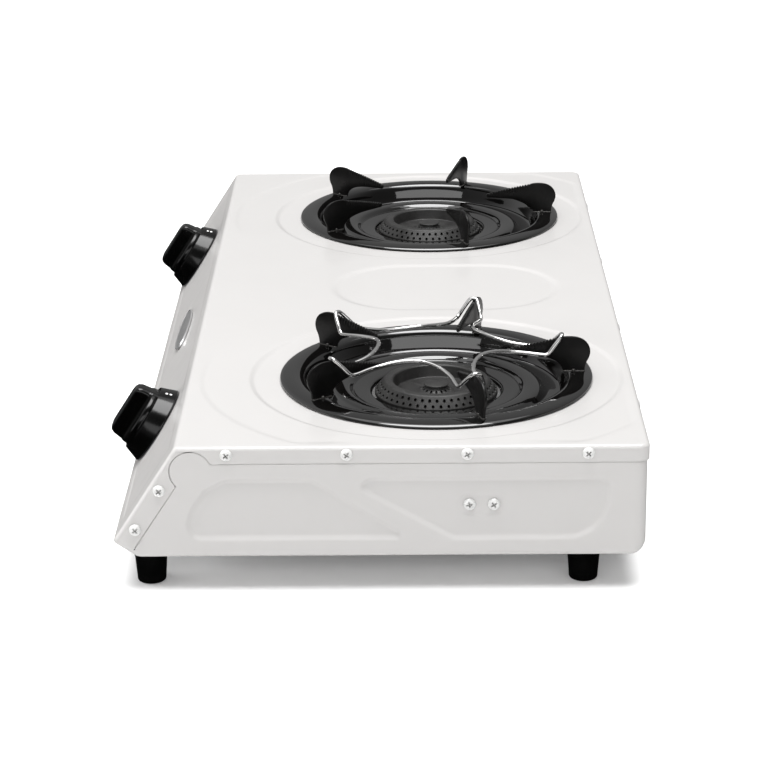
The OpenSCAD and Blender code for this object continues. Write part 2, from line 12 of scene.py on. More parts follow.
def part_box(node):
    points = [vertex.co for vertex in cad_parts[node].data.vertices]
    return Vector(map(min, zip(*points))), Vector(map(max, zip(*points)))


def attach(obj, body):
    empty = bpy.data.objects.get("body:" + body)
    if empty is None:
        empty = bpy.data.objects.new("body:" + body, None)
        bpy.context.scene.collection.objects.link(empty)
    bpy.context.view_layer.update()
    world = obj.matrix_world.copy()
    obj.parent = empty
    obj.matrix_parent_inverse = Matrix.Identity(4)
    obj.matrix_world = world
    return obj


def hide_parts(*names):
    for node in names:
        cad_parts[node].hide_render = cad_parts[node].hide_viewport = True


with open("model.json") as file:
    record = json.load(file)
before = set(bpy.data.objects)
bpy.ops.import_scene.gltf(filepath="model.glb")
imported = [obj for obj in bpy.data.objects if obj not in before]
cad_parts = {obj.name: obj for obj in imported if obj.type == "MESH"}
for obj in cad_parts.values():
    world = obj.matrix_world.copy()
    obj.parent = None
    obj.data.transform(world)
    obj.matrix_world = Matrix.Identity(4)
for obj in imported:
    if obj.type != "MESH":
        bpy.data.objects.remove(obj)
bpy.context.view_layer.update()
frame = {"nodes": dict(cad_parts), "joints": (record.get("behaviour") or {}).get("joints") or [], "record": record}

MM = 0.001
joints = {j["name"]: j for j in frame["joints"]}


def corners(node):
    lo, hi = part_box(node)
    return np.array(lo) / MM, np.array(hi) / MM


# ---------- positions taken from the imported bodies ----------
pan_lo, pan_hi = corners("drip_pan_right")
BX = (pan_lo[0] + pan_hi[0]) / 2
DY = (pan_lo[1] + pan_hi[1]) / 2
PAN_R = (pan_hi[0] - pan_lo[0]) / 2
cov_lo, cov_hi = corners("top_cover")
HW = cov_hi[0]
H = cov_hi[2]
Y_REAR = cov_hi[1] - DY
side_lo, side_hi = corners("side_panel_right")
SKIRT = side_lo[2]
KNOB = {s: np.array(joints["knob_turn_" + n]["pos_m"]) / MM - [0, DY, 0] for s, n in ((1, "right"), (-1, "left"))}
N_OUT = np.array(joints["knob_turn_right"]["axis"], float)
N_OUT /= np.linalg.norm(N_OUT)          # out of the slanted panel
if N_OUT[2] < 0:
    N_OUT = -N_OUT
S_DOWN = np.array([0, -N_OUT[2], N_OUT[1]])   # down the slanted panel
KNOB_S = 41.5
P0 = KNOB[1] - KNOB_S * S_DOWN
P0[0] = 0


def pan3(x, s, h):
    """A point on the slanted panel: s down from its top, h out of it."""
    x, s, h = np.broadcast_arrays(np.asarray(x, float), np.asarray(s, float), np.asarray(h, float))
    return P0 + np.stack([x, np.zeros_like(x), np.zeros_like(x)], -1) + s[..., None] * S_DOWN + h[..., None] * N_OUT


S_LOW = 75.7
FLANGE_TOP, FLANGE_SLANT = 11.5, 14.4
NOTCH = (-160.0, 84.0, 14.0)


# ---------- small maths ----------
def sstep(a, b, x):
    t = np.clip((np.asarray(x, float) - a) / (b - a), 0, 1)
    return t * t * (3 - 2 * t)


def unit(v):
    return v / (np.linalg.norm(v, axis=-1, keepdims=True) + 1e-12)


def rounded(pts, radii, closed=True, seg=5):
    """The polygon with its corners turned into arcs. radii is one number, or one for each point."""
    pts = [np.array(p, float) for p in pts]
    n = len(pts)
    radii = [radii] * n if np.isscalar(radii) else list(radii)
    out = []
    for i, p in enumerate(pts):
        r = radii[i]
        if r <= 0 or (not closed and i in (0, n - 1)):
            out.append(p)
            continue
        a, b = pts[i - 1] - p, pts[(i + 1) % n] - p
        la, lb = np.linalg.norm(a), np.linalg.norm(b)
        if la < 1e-9 or lb < 1e-9:
            out.append(p)
            continue
        a, b = a / la, b / lb
        c = float(np.clip(a @ b, -1, 1))
        if c < -0.9995:
            out.append(p)
            continue
        half = math.acos(c) / 2
        cut = min(r / math.tan(half), 0.48 * la, 0.48 * lb)
        rr = cut * math.tan(half)
        mid = unit(a + b)
        centre = p + mid * rr / math.sin(half)
        v0, v1 = p + a * cut - centre, p + b * cut - centre
        full = math.acos(float(np.clip(unit(v0) @ unit(v1), -1, 1)))
        for k in range(seg + 1):
            t = k / seg
            w = (math.sin((1 - t) * full) * v0 + math.sin(t * full) * v1) / max(math.sin(full), 1e-9)
            out.append(centre + w)
    return out


def spline(pts, sub, closed=False):
    """Centripetal-free Catmull-Rom through the points."""
    p = np.array(pts, float)
    n = len(p)
    out = []
    for i in range(n if closed else n - 1):
        if closed:
            a, b, c, d = p[(i - 1) % n], p[i], p[(i + 1) % n], p[(i + 2) % n]
        else:
            b, c = p[i], p[i + 1]
            a = p[i - 1] if i else 2 * b - c
            d = p[i + 2] if i + 2 < n else 2 * c - b
        for k in range(sub):
            t = k / sub
            out.append(0.5 * (2 * b + (c - a) * t + (2 * a - 5 * b + 4 * c - d) * t * t + (-a + 3 * b - 3 * c + d) * t ** 3))
    if not closed:
        out.append(p[-1])
    return np.array(out)


def offset_line(p, t):
    p = np.array(p, float)
    d = np.gradient(p, axis=0)
    d = unit(d)
    return p + t * np.stack([d[:, 1], -d[:, 0]], 1)


def poly_sd(px, py, poly):
    """Signed distance to a closed polygon, negative inside."""
    poly = np.array(poly, float)
    best = np.full(px.shape, 1e9)
    inside = np.zeros(px.shape, bool)
    for i in range(len(poly)):
        a, b = poly[i - 1], poly[i]
        e = b - a
        w0, w1 = px - a[0], py - a[1]
        t = np.clip((w0 * e[0] + w1 * e[1]) / (e @ e + 1e-12), 0, 1)
        best = np.minimum(best, np.hypot(w0 - t * e[0], w1 - t * e[1]))
        cross = (a[1] > py) != (b[1] > py)
        with np.errstate(divide="ignore", invalid="ignore"):
            xi = a[0] + (py - a[1]) * (b[0] - a[0]) / (b[1] - a[1])
        inside ^= cross & (px < xi)
    return np.where(inside, -best, best)


# ---------- mesh making ----------
class Shape:
    """Collects vertices and faces in millimetres."""

    def __init__(self):
        self.v, self.f, self.n = [], [], 0

    def add(self, v, f):
        v = np.asarray(v, float).reshape(-1, 3)
        self.v.append(v)
        self.f += [tuple(int(i) + self.n for i in q) for q in f]
        self.n += len(v)
        return self

    def grid(self, g, closed_u=False, closed_v=False, flip=False):
        """g is an array of nu x nv points."""
        nu, nv = g.shape[:2]
        idx = np.arange(nu * nv).reshape(nu, nv)
        if closed_u:
            idx = np.vstack([idx, idx[:1]])
        if closed_v:
            idx = np.hstack([idx, idx[:, :1]])
        q = np.stack([idx[:-1, :-1], idx[1:, :-1], idx[1:, 1:], idx[:-1, 1:]], -1).reshape(-1, 4)
        if flip:
            q = q[:, ::-1]
        return self.add(g.reshape(-1, 3), q.tolist())

    def ngon(self, pts):
        pts = np.asarray(pts, float)
        return self.add(pts, [tuple(range(len(pts)))])

    def points(self):
        return np.concatenate(self.v)

    def copy_from(self, other, fn=lambda p: p, flip=False):
        v = fn(other.points())
        return self.add(v, [tuple(reversed(q)) if flip else q for q in other.f])

    def mirror_x(self):
        return Shape().copy_from(self, lambda p: p * [-1, 1, 1], flip=True)


def to_object(name, shape, weld=1e-3):
    me = bpy.data.meshes.new(name)
    me.from_pydata(shape.points().tolist(), [], shape.f)
    me.update()
    if weld:
        bm = bmesh.new()
        bm.from_mesh(me)
        bmesh.ops.remove_doubles(bm, verts=bm.verts, dist=weld)
        bmesh.ops.dissolve_degenerate(bm, edges=bm.edges, dist=weld * 0.5)
        bmesh.ops.recalc_face_normals(bm, faces=bm.faces)
        bm.to_mesh(me)
        bm.free()
    me.validate()
    o = bpy.data.objects.new(name, me)
    bpy.context.scene.collection.objects.link(o)
    return o


def apply_modifiers(o):
    bpy.context.view_layer.update()
    dg = bpy.context.evaluated_depsgraph_get()
    me = bpy.data.meshes.new_from_object(o.evaluated_get(dg))
    o.modifiers.clear()
    old = o.data
    o.data = me
    bpy.data.meshes.remove(old)
    return o


def carve(o, cutter):
    """Cuts one mesh out of another, exactly."""
    m = o.modifiers.new("cut", "BOOLEAN")
    m.operation = "DIFFERENCE"
    m.solver = "EXACT"
    m.object = cutter
    apply_modifiers(o)
    me = cutter.data
    bpy.data.objects.remove(cutter)
    bpy.data.meshes.remove(me)
    return o


def bevel(o, width, seg=2, angle=40):
    m = o.modifiers.new("bevel", "BEVEL")
    m.width = width
    m.segments = seg
    m.limit_method = "ANGLE"
    m.angle_limit = math.radians(angle)
    m.harden_normals = False
    return apply_modifiers(o)


def piece(o, material, body, nodes=(), sharp=38):
    """Millimetres become metres in the part's frame, and the piece takes its material, body and place."""
    me = o.data
    me.transform(Matrix.Scale(MM, 4) @ Matrix.Translation((0, DY, 0)))
    me.materials.clear()
    me.materials.append(material)
    me.polygons.foreach_set("use_smooth", [True] * len(me.polygons))
    me.set_sharp_from_angle(angle=math.radians(sharp))
    me.update()
    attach(o, body)
    if nodes:
        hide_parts(*nodes)
    return o


def revolve(profile, n=96, centre=(0, 0, 0), closed=True, phase=0.0):
    """A surface of revolution about Z. A closed profile gives a closed solid."""
    p = np.array(profile, float)
    a = np.arange(n) * 2 * math.pi / n + phase
    g = np.empty((n, len(p), 3))
    g[..., 0] = p[None, :, 0] * np.cos(a)[:, None]
    g[..., 1] = p[None, :, 0] * np.sin(a)[:, None]
    g[..., 2] = p[None, :, 1]
    c = np.array(centre, float)
    if closed:
        return Shape().grid(g + c, closed_u=True, closed_v=True)
    # an open profile starts and ends on the axis: each end closes in a single point
    s = Shape().grid(g[:, 1:-1] + c, closed_u=True)
    for z, ring, turn in ((p[0][1], g[:, 1], True), (p[-1][1], g[:, -2], False)):
        fan = [(0, 1 + i, 1 + (i + 1) % n) for i in range(n)]
        s.add(np.vstack([[[0, 0, z]], ring]) + c, [f[::-1] for f in fan] if turn else fan)
    return s


def rod(p, q, r0, r1=None, n=24):
    """A closed round bar from p to q."""
    r1 = r0 if r1 is None else r1
    p, q = np.array(p, float), np.array(q, float)
    z = unit(q - p)
    x = unit(np.cross(z, [0, 0, 1] if abs(z[2]) < 0.9 else [1, 0, 0]))
    y = np.cross(z, x)
    a = np.arange(n) * 2 * math.pi / n
    ring = np.cos(a)[:, None] * x + np.sin(a)[:, None] * y
    s = Shape()
    s.add(np.vstack([p + r0 * ring, q + r1 * ring]),
          [(i, (i + 1) % n, n + (i + 1) % n, n + i) for i in range(n)] + [tuple(range(n - 1, -1, -1)), tuple(range(n, 2 * n))])
    return s


def placed(shape, origin, x_axis, y_axis, z_axis):
    m = np.stack([x_axis, y_axis, z_axis])
    return Shape().copy_from(shape, lambda p: p @ m + np.array(origin, float))


def on_panel(shape, x, s=KNOB_S, h=0.0):
    """From a frame on the slanted panel: +Z out of it, +Y up the slope."""
    return placed(shape, pan3(x, s, h), [1, 0, 0], -S_DOWN, N_OUT)


# ---------- materials ----------
def material(name, colour, rough=0.4, metal=0.0, coat=0.0, coat_rough=0.05, ior=1.5, spec=0.5,
             bump=0.0, bump_scale=400.0, mottle=0.0, mottle_scale=30.0, rough_var=0.0, rough_scale=60.0,
             wear=0.0, wear_colour=(0.5, 0.5, 0.5), grit=0.0, grit_scale=2500.0, stretch=(1, 1, 1)):
    m = bpy.data.materials.new(name)
    m.use_nodes = True
    nt = m.node_tree
    nt.nodes.clear()
    out = nt.nodes.new("ShaderNodeOutputMaterial")
    b = nt.nodes.new("ShaderNodeBsdfPrincipled")
    nt.links.new(b.outputs[0], out.inputs[0])
    b.inputs["Metallic"].default_value = metal
    b.inputs["Roughness"].default_value = rough
    b.inputs["IOR"].default_value = ior
    b.inputs["Specular IOR Level"].default_value = spec
    b.inputs["Coat Weight"].default_value = coat
    b.inputs["Coat Roughness"].default_value = coat_rough
    tc = nt.nodes.new("ShaderNodeTexCoord")
    mp = nt.nodes.new("ShaderNodeMapping")
    mp.inputs["Scale"].default_value = stretch
    nt.links.new(tc.outputs["Object"], mp.inputs["Vector"])

    def noise(scale, detail=3.0, roughness=0.55):
        n = nt.nodes.new("ShaderNodeTexNoise")
        n.inputs["Scale"].default_value = scale
        n.inputs["Detail"].default_value = detail
        n.inputs["Roughness"].default_value = roughness
        nt.links.new(mp.outputs[0], n.inputs["Vector"])
        return n.outputs["Fac"]

    def ramp(src, a, b2, lo, hi):
        r = nt.nodes.new("ShaderNodeMapRange")
        r.inputs["From Min"].default_value = a
        r.inputs["From Max"].default_value = b2
        r.inputs["To Min"].default_value = lo
        r.inputs["To Max"].default_value = hi
        nt.links.new(src, r.inputs["Value"])
        return r.outputs[0]

    c0 = tuple(colour) + (1.0,)
    last = None
    if mottle:
        mix = nt.nodes.new("ShaderNodeMix")
        mix.data_type = "RGBA"
        mix.inputs[6].default_value = tuple(max(0, c * (1 - mottle)) for c in colour) + (1.0,)
        mix.inputs[7].default_value = tuple(min(1, c * (1 + mottle)) for c in colour) + (1.0,)
        nt.links.new(ramp(noise(mottle_scale), 0.3, 0.7, 0.0, 1.0), mix.inputs[0])
        last = mix.outputs[2]
    else:
        b.inputs["Base Color"].default_value = c0
    if wear:
        geo = nt.nodes.new("ShaderNodeNewGeometry")
        edge = ramp(geo.outputs["Pointiness"], 0.53, 0.62, 0.0, wear)
        mul = nt.nodes.new("ShaderNodeMath")
        mul.operation = "MULTIPLY"
        nt.links.new(edge, mul.inputs[0])
        nt.links.new(ramp(noise(220.0), 0.4, 0.6, 0.2, 1.0), mul.inputs[1])
        mix = nt.nodes.new("ShaderNodeMix")
        mix.data_type = "RGBA"
        nt.links.new(mul.outputs[0], mix.inputs[0])
        if last is not None:
            nt.links.new(last, mix.inputs[6])
        else:
            mix.inputs[6].default_value = c0
        mix.inputs[7].default_value = tuple(wear_colour) + (1.0,)
        last = mix.outputs[2]
    if last is not None:
        nt.links.new(last, b.inputs["Base Color"])
    if rough_var:
        nt.links.new(ramp(noise(rough_scale, 4.0), 0.3, 0.7, max(0.0, rough - rough_var), min(1.0, rough + rough_var)), b.inputs["Roughness"])
    height = None
    if bump:
        bn = nt.nodes.new("ShaderNodeBump")
        bn.inputs["Strength"].default_value = bump
        bn.inputs["Distance"].default_value = 0.0004
        nt.links.new(noise(bump_scale, 2.0), bn.inputs["Height"])
        height = bn
    if grit:
        bn = nt.nodes.new("ShaderNodeBump")
        bn.inputs["Strength"].default_value = grit
        bn.inputs["Distance"].default_value = 0.0002
        nt.links.new(noise(grit_scale, 4.0, 0.7), bn.inputs["Height"])
        if height is not None:
            nt.links.new(height.outputs[0], bn.inputs["Normal"])
        height = bn
    if height is not None:
        nt.links.new(height.outputs[0], b.inputs["Normal"])
        if coat and bump:
            nt.links.new(height.outputs[0], b.inputs["Coat Normal"])
    return m


ENAMEL = material("white_enamel", (0.50, 0.49, 0.482), rough=0.36, coat=0.4, coat_rough=0.10, bump=0.05, bump_scale=260, mottle=0.012, mottle_scale=6, rough_var=0.03)
BLACK = material("black_enamel", (0.0022, 0.002, 0.0019), rough=0.05, spec=0.90, bump=0.045, bump_scale=180, mottle=0.25, mottle_scale=40, rough_var=0.015)
FIN = material("fin_black", (0.0035, 0.0033, 0.0032), rough=0.34, spec=0.22, bump=0.12, bump_scale=600, grit=0.12, mottle=0.3, mottle_scale=90, rough_var=0.07, wear=0.2, wear_colour=(0.03, 0.029, 0.028))
# the fin feet take a lighter colour than the fins: a painted highlight for the bright line along each fin's foot
FIN_FOOT_HIGHLIGHT = material("fin_foot_painted_highlight", (0.045, 0.043, 0.041), rough=0.30, metal=0.4, bump=0.1, bump_scale=700, mottle=0.3, mottle_scale=200, rough_var=0.06)
CAST = material("cast_iron", (0.016, 0.0155, 0.015), rough=0.46, metal=0.1, spec=0.45, grit=0.45, grit_scale=1500, bump=0.12, bump_scale=400, mottle=0.35, mottle_scale=120, rough_var=0.08, wear=0.3, wear_colour=(0.09, 0.088, 0.085))
KNOB_M = material("knob_plastic", (0.0010, 0.0010, 0.0010), rough=0.15, spec=0.34, bump=0.03, bump_scale=500, grit=0.02, mottle=0.2, rough_var=0.04)
CHROME = material("chrome_wire", (0.66, 0.655, 0.65), rough=0.08, metal=1.0, bump=0.06, bump_scale=300, mottle=0.04, mottle_scale=150, rough_var=0.03)
SCREW = material("screw_steel", (0.66, 0.66, 0.65), rough=0.30, metal=0.12, bump=0.06, bump_scale=900, mottle=0.08, mottle_scale=300, rough_var=0.06)
ZINC = material("zinc_steel", (0.62, 0.63, 0.65), rough=0.36, metal=1.0, bump=0.08, bump_scale=150, mottle=0.14, mottle_scale=55, rough_var=0.1, rough_scale=40)
BRASS = material("valve_brass", (0.70, 0.50, 0.22), rough=0.30, metal=1.0, bump=0.1, bump_scale=500, mottle=0.12, mottle_scale=120, rough_var=0.08)
RUBBER = material("rubber_black", (0.0015, 0.0015, 0.0015), rough=0.55, spec=0.12, grit=0.2, bump=0.08, bump_scale=300, mottle=0.3, mottle_scale=60, rough_var=0.08)
BADGE = material("badge_metal", (0.56, 0.56, 0.56), rough=0.36, metal=0.85, bump=0.05, bump_scale=700, mottle=0.05, mottle_scale=200, rough_var=0.05, stretch=(1, 12, 12))
MARK = material("printed_white", (0.85, 0.85, 0.84), rough=0.5, mottle=0.03, mottle_scale=400, grit=0.1)
SLOT_OF = {"white_enamel": ENAMEL, "black_enamel": BLACK, "fin_black": FIN, "cast_burner": CAST, "knob_plastic": KNOB_M,
           "chrome_wire": CHROME, "screw_steel": SCREW, "zinc_steel": ZINC, "valve_brass": BRASS, "rubber_black": RUBBER, "badge_metal": BADGE}

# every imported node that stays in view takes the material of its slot
for entry in frame["record"]["subparts"]:
    mat = SLOT_OF.get(entry.get("material_slot"))
    node = entry.get("node")
    if node in frame["nodes"] and mat:
        me = frame["nodes"][node].data
        me.materials.clear()
        me.materials.append(mat)


# ---------- the pressed top cover ----------
XE = HW - 2.6
RB = 2.6
FOLD_R = 5.0
nf = math.atan2(N_OUT[2], N_OUT[1])                       # direction of the slanted panel's normal, in y-z
FOLD_Z = H - FOLD_R
FOLD_Y = P0[1] + (-FOLD_R - (FOLD_Z - P0[2]) * N_OUT[2]) / N_OUT[1]
S_TOP = float((np.array([0, FOLD_Y, FOLD_Z]) + FOLD_R * N_OUT - P0) @ S_DOWN)
YE = Y_REAR - RB
S_B = S_LOW - 2.0
RC = 4.6


def deck_z(x, y):
    """The pressed shapes of the deck, below its flat."""
    ax = np.abs(x)
    r = np.hypot(ax - BX, y)
    z = -1.2 * (1 - sstep(125.2, 129.8, r))
    # a wider, shallower ring shows only towards the outer corners
    corner = sstep(35, 85, np.abs(y)) * sstep(BX - 70, BX - 5, ax) * (1 - sstep(HW - 12, HW - 4, ax)) * (1 - sstep(YE - 7, YE - 1, y)) * (1 - sstep(-FOLD_Y - 8, -FOLD_Y - 1, -y))
    z = z - 0.55 * (1 - sstep(159.5, 164.5, r)) * corner
    # the long shallow field between the burners
    sd = np.hypot(x, y - np.clip(y, -18, 38)) - 57
    z = z - 0.9 * (1 - sstep(-2.6, 2.2, sd))
    return z


def make_cover():
    s = Shape()
    # deck: rings round the burner, then rows out to the edges
    xs = np.linspace(0, XE, 120)
    loop = [(x, FOLD_Y) for x in xs]
    ys = np.linspace(FOLD_Y, YE - RC, 106)
    loop += [(XE, y) for y in ys[1:]]
    arc = [(XE - RC + RC * math.cos(a), YE - RC + RC * math.sin(a)) for a in np.linspace(0, math.pi / 2, 8)]
    loop += arc[1:]
    xr = np.linspace(XE - RC, 0, 118)
    loop += [(x, YE) for x in xr[1:]]
    loop += [(0, y) for y in np.linspace(YE, FOLD_Y, 106)[1:-1]]
    loop = np.array(loop)
    centre = np.array([BX, 0.0])
    d = unit(loop - centre)
    rows, zs = [], []
    for r, z in [(99, -5.2), (99, -3.6), (99.05, -2.6), (99.4, -1.75), (100.1, -1.3), (101, None), (104, None), (109, None), (116, None), (122, None), (124.6, None),
                 (125.4, None), (126.2, None), (127, None), (127.8, None), (128.6, None), (129.4, None), (130.2, None), (131.2, None)]:
        q = centre + r * d
        rows.append(q)
        zs.append(np.full(len(q), float(z)) if z is not None else deck_z(q[:, 0], q[:, 1]))
    start = centre + 131.2 * d
    for t in np.linspace(0, 1, 41)[1:]:
        q = start + (loop - start) * t
        rows.append(q)
        zs.append(deck_z(q[:, 0], q[:, 1]) * (1.0 if t < 1 else 0.0))
    g = np.dstack([np.array(rows), H + np.array(zs)])
    # the stadium crosses the middle line, so the middle edge keeps its depth
    mid = (g[-1, :, 0] < 1e-6) & (g[-1, :, 1] > FOLD_Y + 1) & (g[-1, :, 1] < YE - 1)
    g[-1, mid, 2] = H + deck_z(g[-1, mid, 0], g[-1, mid, 1])
    s.grid(g, closed_v=True)
    # fold
    fa = np.linspace(math.pi / 2, nf, 9)
    fold = np.array([[[x, FOLD_Y + FOLD_R * math.cos(a), FOLD_Z + FOLD_R * math.sin(a)] for x in xs] for a in fa])
    s.grid(fold)
    # slanted panel, a shallow field within a border
    ss = np.concatenate([np.linspace(S_TOP, 14, 15), np.linspace(14, 60, 36)[1:], np.linspace(60, S_B - 2.4, 14)[1:],
                         S_B - 2.4 + 2.4 * np.sin(np.linspace(0, math.pi / 2, 5))[1:]])
    rc2 = 2.4
    g = np.empty((len(ss), len(xs), 3))
    for i, q in enumerate(ss):
        lim = XE if q <= S_B - rc2 else XE - rc2 + math.sqrt(max(0.0, rc2 ** 2 - (q - S_B + rc2) ** 2))
        x = xs * lim / XE
        h = -0.45 * sstep(6.5, 9.0, q) * (1 - sstep(65.5, 68, q)) * (1 - sstep(318, 326, x))
        g[i] = pan3(x, q, h)
    hole = np.array([BX, KNOB_S])
    idx = np.arange(len(ss) * len(xs)).reshape(len(ss), len(xs))
    xx = np.tile(xs, (len(ss), 1))
    sg = np.tile(ss[:, None], (1, len(xs)))
    rr = np.hypot(xx - hole[0], sg - hole[1])
    near = (rr > 10.6) & (rr < 13.9)
    ang = np.arctan2(sg - hole[1], xx - hole[0])
    g[near] = pan3(hole[0] + 12.4 * np.cos(ang[near]), hole[1] + 12.4 * np.sin(ang[near]), -0.45)
    inside = rr <= 10.6
    faces = []
    for i in range(len(ss) - 1):
        for j in range(len(xs) - 1):
            q = [(i, j), (i + 1, j), (i + 1, j + 1), (i, j + 1)]
            if any(inside[a] for a in q) or all(near[a] for a in q):
                continue
            faces.append([idx[a] for a in q])
    s.add(g.reshape(-1, 3), faces)
    # the chain of edge points: position, outward, inward, full depth, turned as a rim or left for the side flange
    inward = -N_OUT
    chain = []
    for x in np.linspace(0, XE - rc2, 60):
        chain.append((pan3(x, S_B, 0), S_DOWN, inward, 11.0 + 3.4 * sstep(250, 330, x), "rim"))
    # the last row of the panel has its own spacing, so the rim takes its points from there
    chain = [(g[-1, j], S_DOWN, inward, 11.0 + 3.4 * float(sstep(250, 330, xs[j])), "rim") for j in range(len(xs))]
    for i in range(len(ss) - 2, -1, -1):
        q = ss[i]
        if q > S_B - rc2 + 1e-6:
            t = (q - S_B + rc2) / rc2
            m = unit(S_DOWN * t + np.array([math.sqrt(1 - t * t), 0, 0]))
            chain.append((g[i, -1], m, inward, FLANGE_SLANT, "rim"))
        else:
            chain.append((g[i, -1], np.array([1.0, 0, 0]), inward, FLANGE_SLANT, "rim" if q > S_B - rc2 - 0.1 else "side"))
    for a, p in list(zip(fa, fold[:, -1]))[::-1][1:]:
        chain.append((p, np.array([1.0, 0, 0]), -np.array([0, math.cos(a), math.sin(a)]), 3.0, "side"))
    down = np.array([0, 0, -1.0])
    for y in ys[1:]:
        chain.append((np.array([XE, y, H]), np.array([1.0, 0, 0]), down, FLANGE_TOP, "side" if y < -139 else "rim"))
    for a, p in zip(np.linspace(0, math.pi / 2, 8)[1:], arc[1:]):
        chain.append((np.array([p[0], p[1], H]), np.array([math.cos(a), math.sin(a), 0]), down, FLANGE_TOP, "rim"))
    for x in xr[1:]:
        chain.append((np.array([x, YE, H]), np.array([0, 1.0, 0]), down, FLANGE_TOP, "rim"))
    P = np.array([c[0] for c in chain]); M = np.array([c[1] for c in chain]); D = np.array([c[2] for c in chain])
    depth = np.array([c[3] for c in chain]); kind = [c[4] for c in chain]
    bend = np.array([P + RB * math.sin(t) * M + RB * (1 - math.cos(t)) * D for t in np.linspace(0, math.pi / 2, 8)])
    s.grid(bend)
    rim = [bend[-1], P + RB * M + (RB + 0.5) * D]
    for t in (0.4, 0.8):
        rim.append(P + RB * M + (RB + 0.5 + t * (depth - RB - 1.0)[:, None]) * D)
    rim.append(P + RB * M + (depth - 0.5)[:, None] * D)
    rim.append(P + (RB - 0.12) * M + (depth - 0.18)[:, None] * D)
    rim.append(P + (RB - 0.45) * M + depth[:, None] * D)
    rim = np.array(rim)
    side = [i for i, k in enumerate(kind) if k == "side"]
    a0, a1 = side[0], side[-1]
    s.grid(rim[:, :a0])
    s.grid(rim[:, a0 - 1:a0 + 1])
    s.grid(rim[:, a1:])
    s.grid(rim[:2, a0:a1 + 1])
    # side flange: one flat plate, with its notch
    cy, cz, cr = NOTCH
    top = [(cy + cr * math.cos(a), cz + cr * math.sin(a)) for a in np.radians(np.linspace(21.8, 225.3, 44))]
    y1 = rim[1, a1]
    inner = [(y1[1], H - FLANGE_TOP), (cy + 13.0 + 1.2, H - FLANGE_TOP)] + top[1:-1]
    c1 = pan3(0, 20.05 + 1.0, -FLANGE_SLANT)
    inner += [(c1[1], c1[2])]
    low = rim[-1, a0]
    plate = [rim[1, i] for i in range(a0, a1 + 1)]
    plate += [rim[k, a1] for k in (2, 3, 4)]
    plate += [np.array([HW, p[0], p[1]]) for p in inner]
    plate += [rim[4, a0], rim[3, a0], rim[2, a0]]
    s.ngon([np.array([HW, p[1], p[2]]) for p in plate])
    full = Shape().copy_from(s).copy_from(s.mirror_x())
    o = to_object("top_cover_pressed", full, weld=2e-3)
    m = o.modifiers.new("sheet", "SOLIDIFY")
    m.thickness = 0.95
    m.offset = -1
    m.use_even_offset = False
    m.use_rim = True
    apply_modifiers(o)
    return piece(o, ENAMEL, "stove", ["top_cover"], sharp=42)


cover = make_cover()


# ---------- side panels, with their pressed fields ----------
REC_A = rounded([(-139, 77.2), (-82, 77.2), (-26, 41.0), (-26, 37.6), (-158, 37.6), (-163.5, 46), (-159.5, 58.5), (-151, 70.5)], [9, 8, 2.2, 2.2, 7, 9, 12, 12], seg=5)
REC_B = rounded([(-50, 74), (-45.5, 78), (104, 78.2), (109.3, 74), (108.8, 60), (102, 44.5), (88, 37.3), (9, 37), (-49, 70.8)], [2, 4, 6, 5, 16, 16, 10, 7, 2], seg=5)
OVAL = ((19.4, 60.0), (35.2, 60.0))


def side_x(y, z, hh):
    """How far the panel's face stands outwards of its flat."""
    a, b = poly_sd(y, z, REC_A), poly_sd(y, z, REC_B)
    out = -1.75 * (1 - sstep(-2.3, 2.1, a)) - 1.75 * (1 - sstep(-2.3, 2.1, b))
    oval = np.hypot(y - np.clip(y, OVAL[0][0], OVAL[1][0]), z - OVAL[0][1])
    out -= 0.3 * (1 - sstep(6.6, 7.6, oval))
    # the border steps in behind the cover's flange
    edge = np.maximum(hh + FLANGE_SLANT + 0.25, z - (H - FLANGE_TOP - 0.3))
    edge = np.minimum(edge, np.hypot(y - NOTCH[0], z - NOTCH[1]) - (NOTCH[2] - 0.55))
    out -= 1.15 * sstep(-0.25, 0.75, edge)
    return out


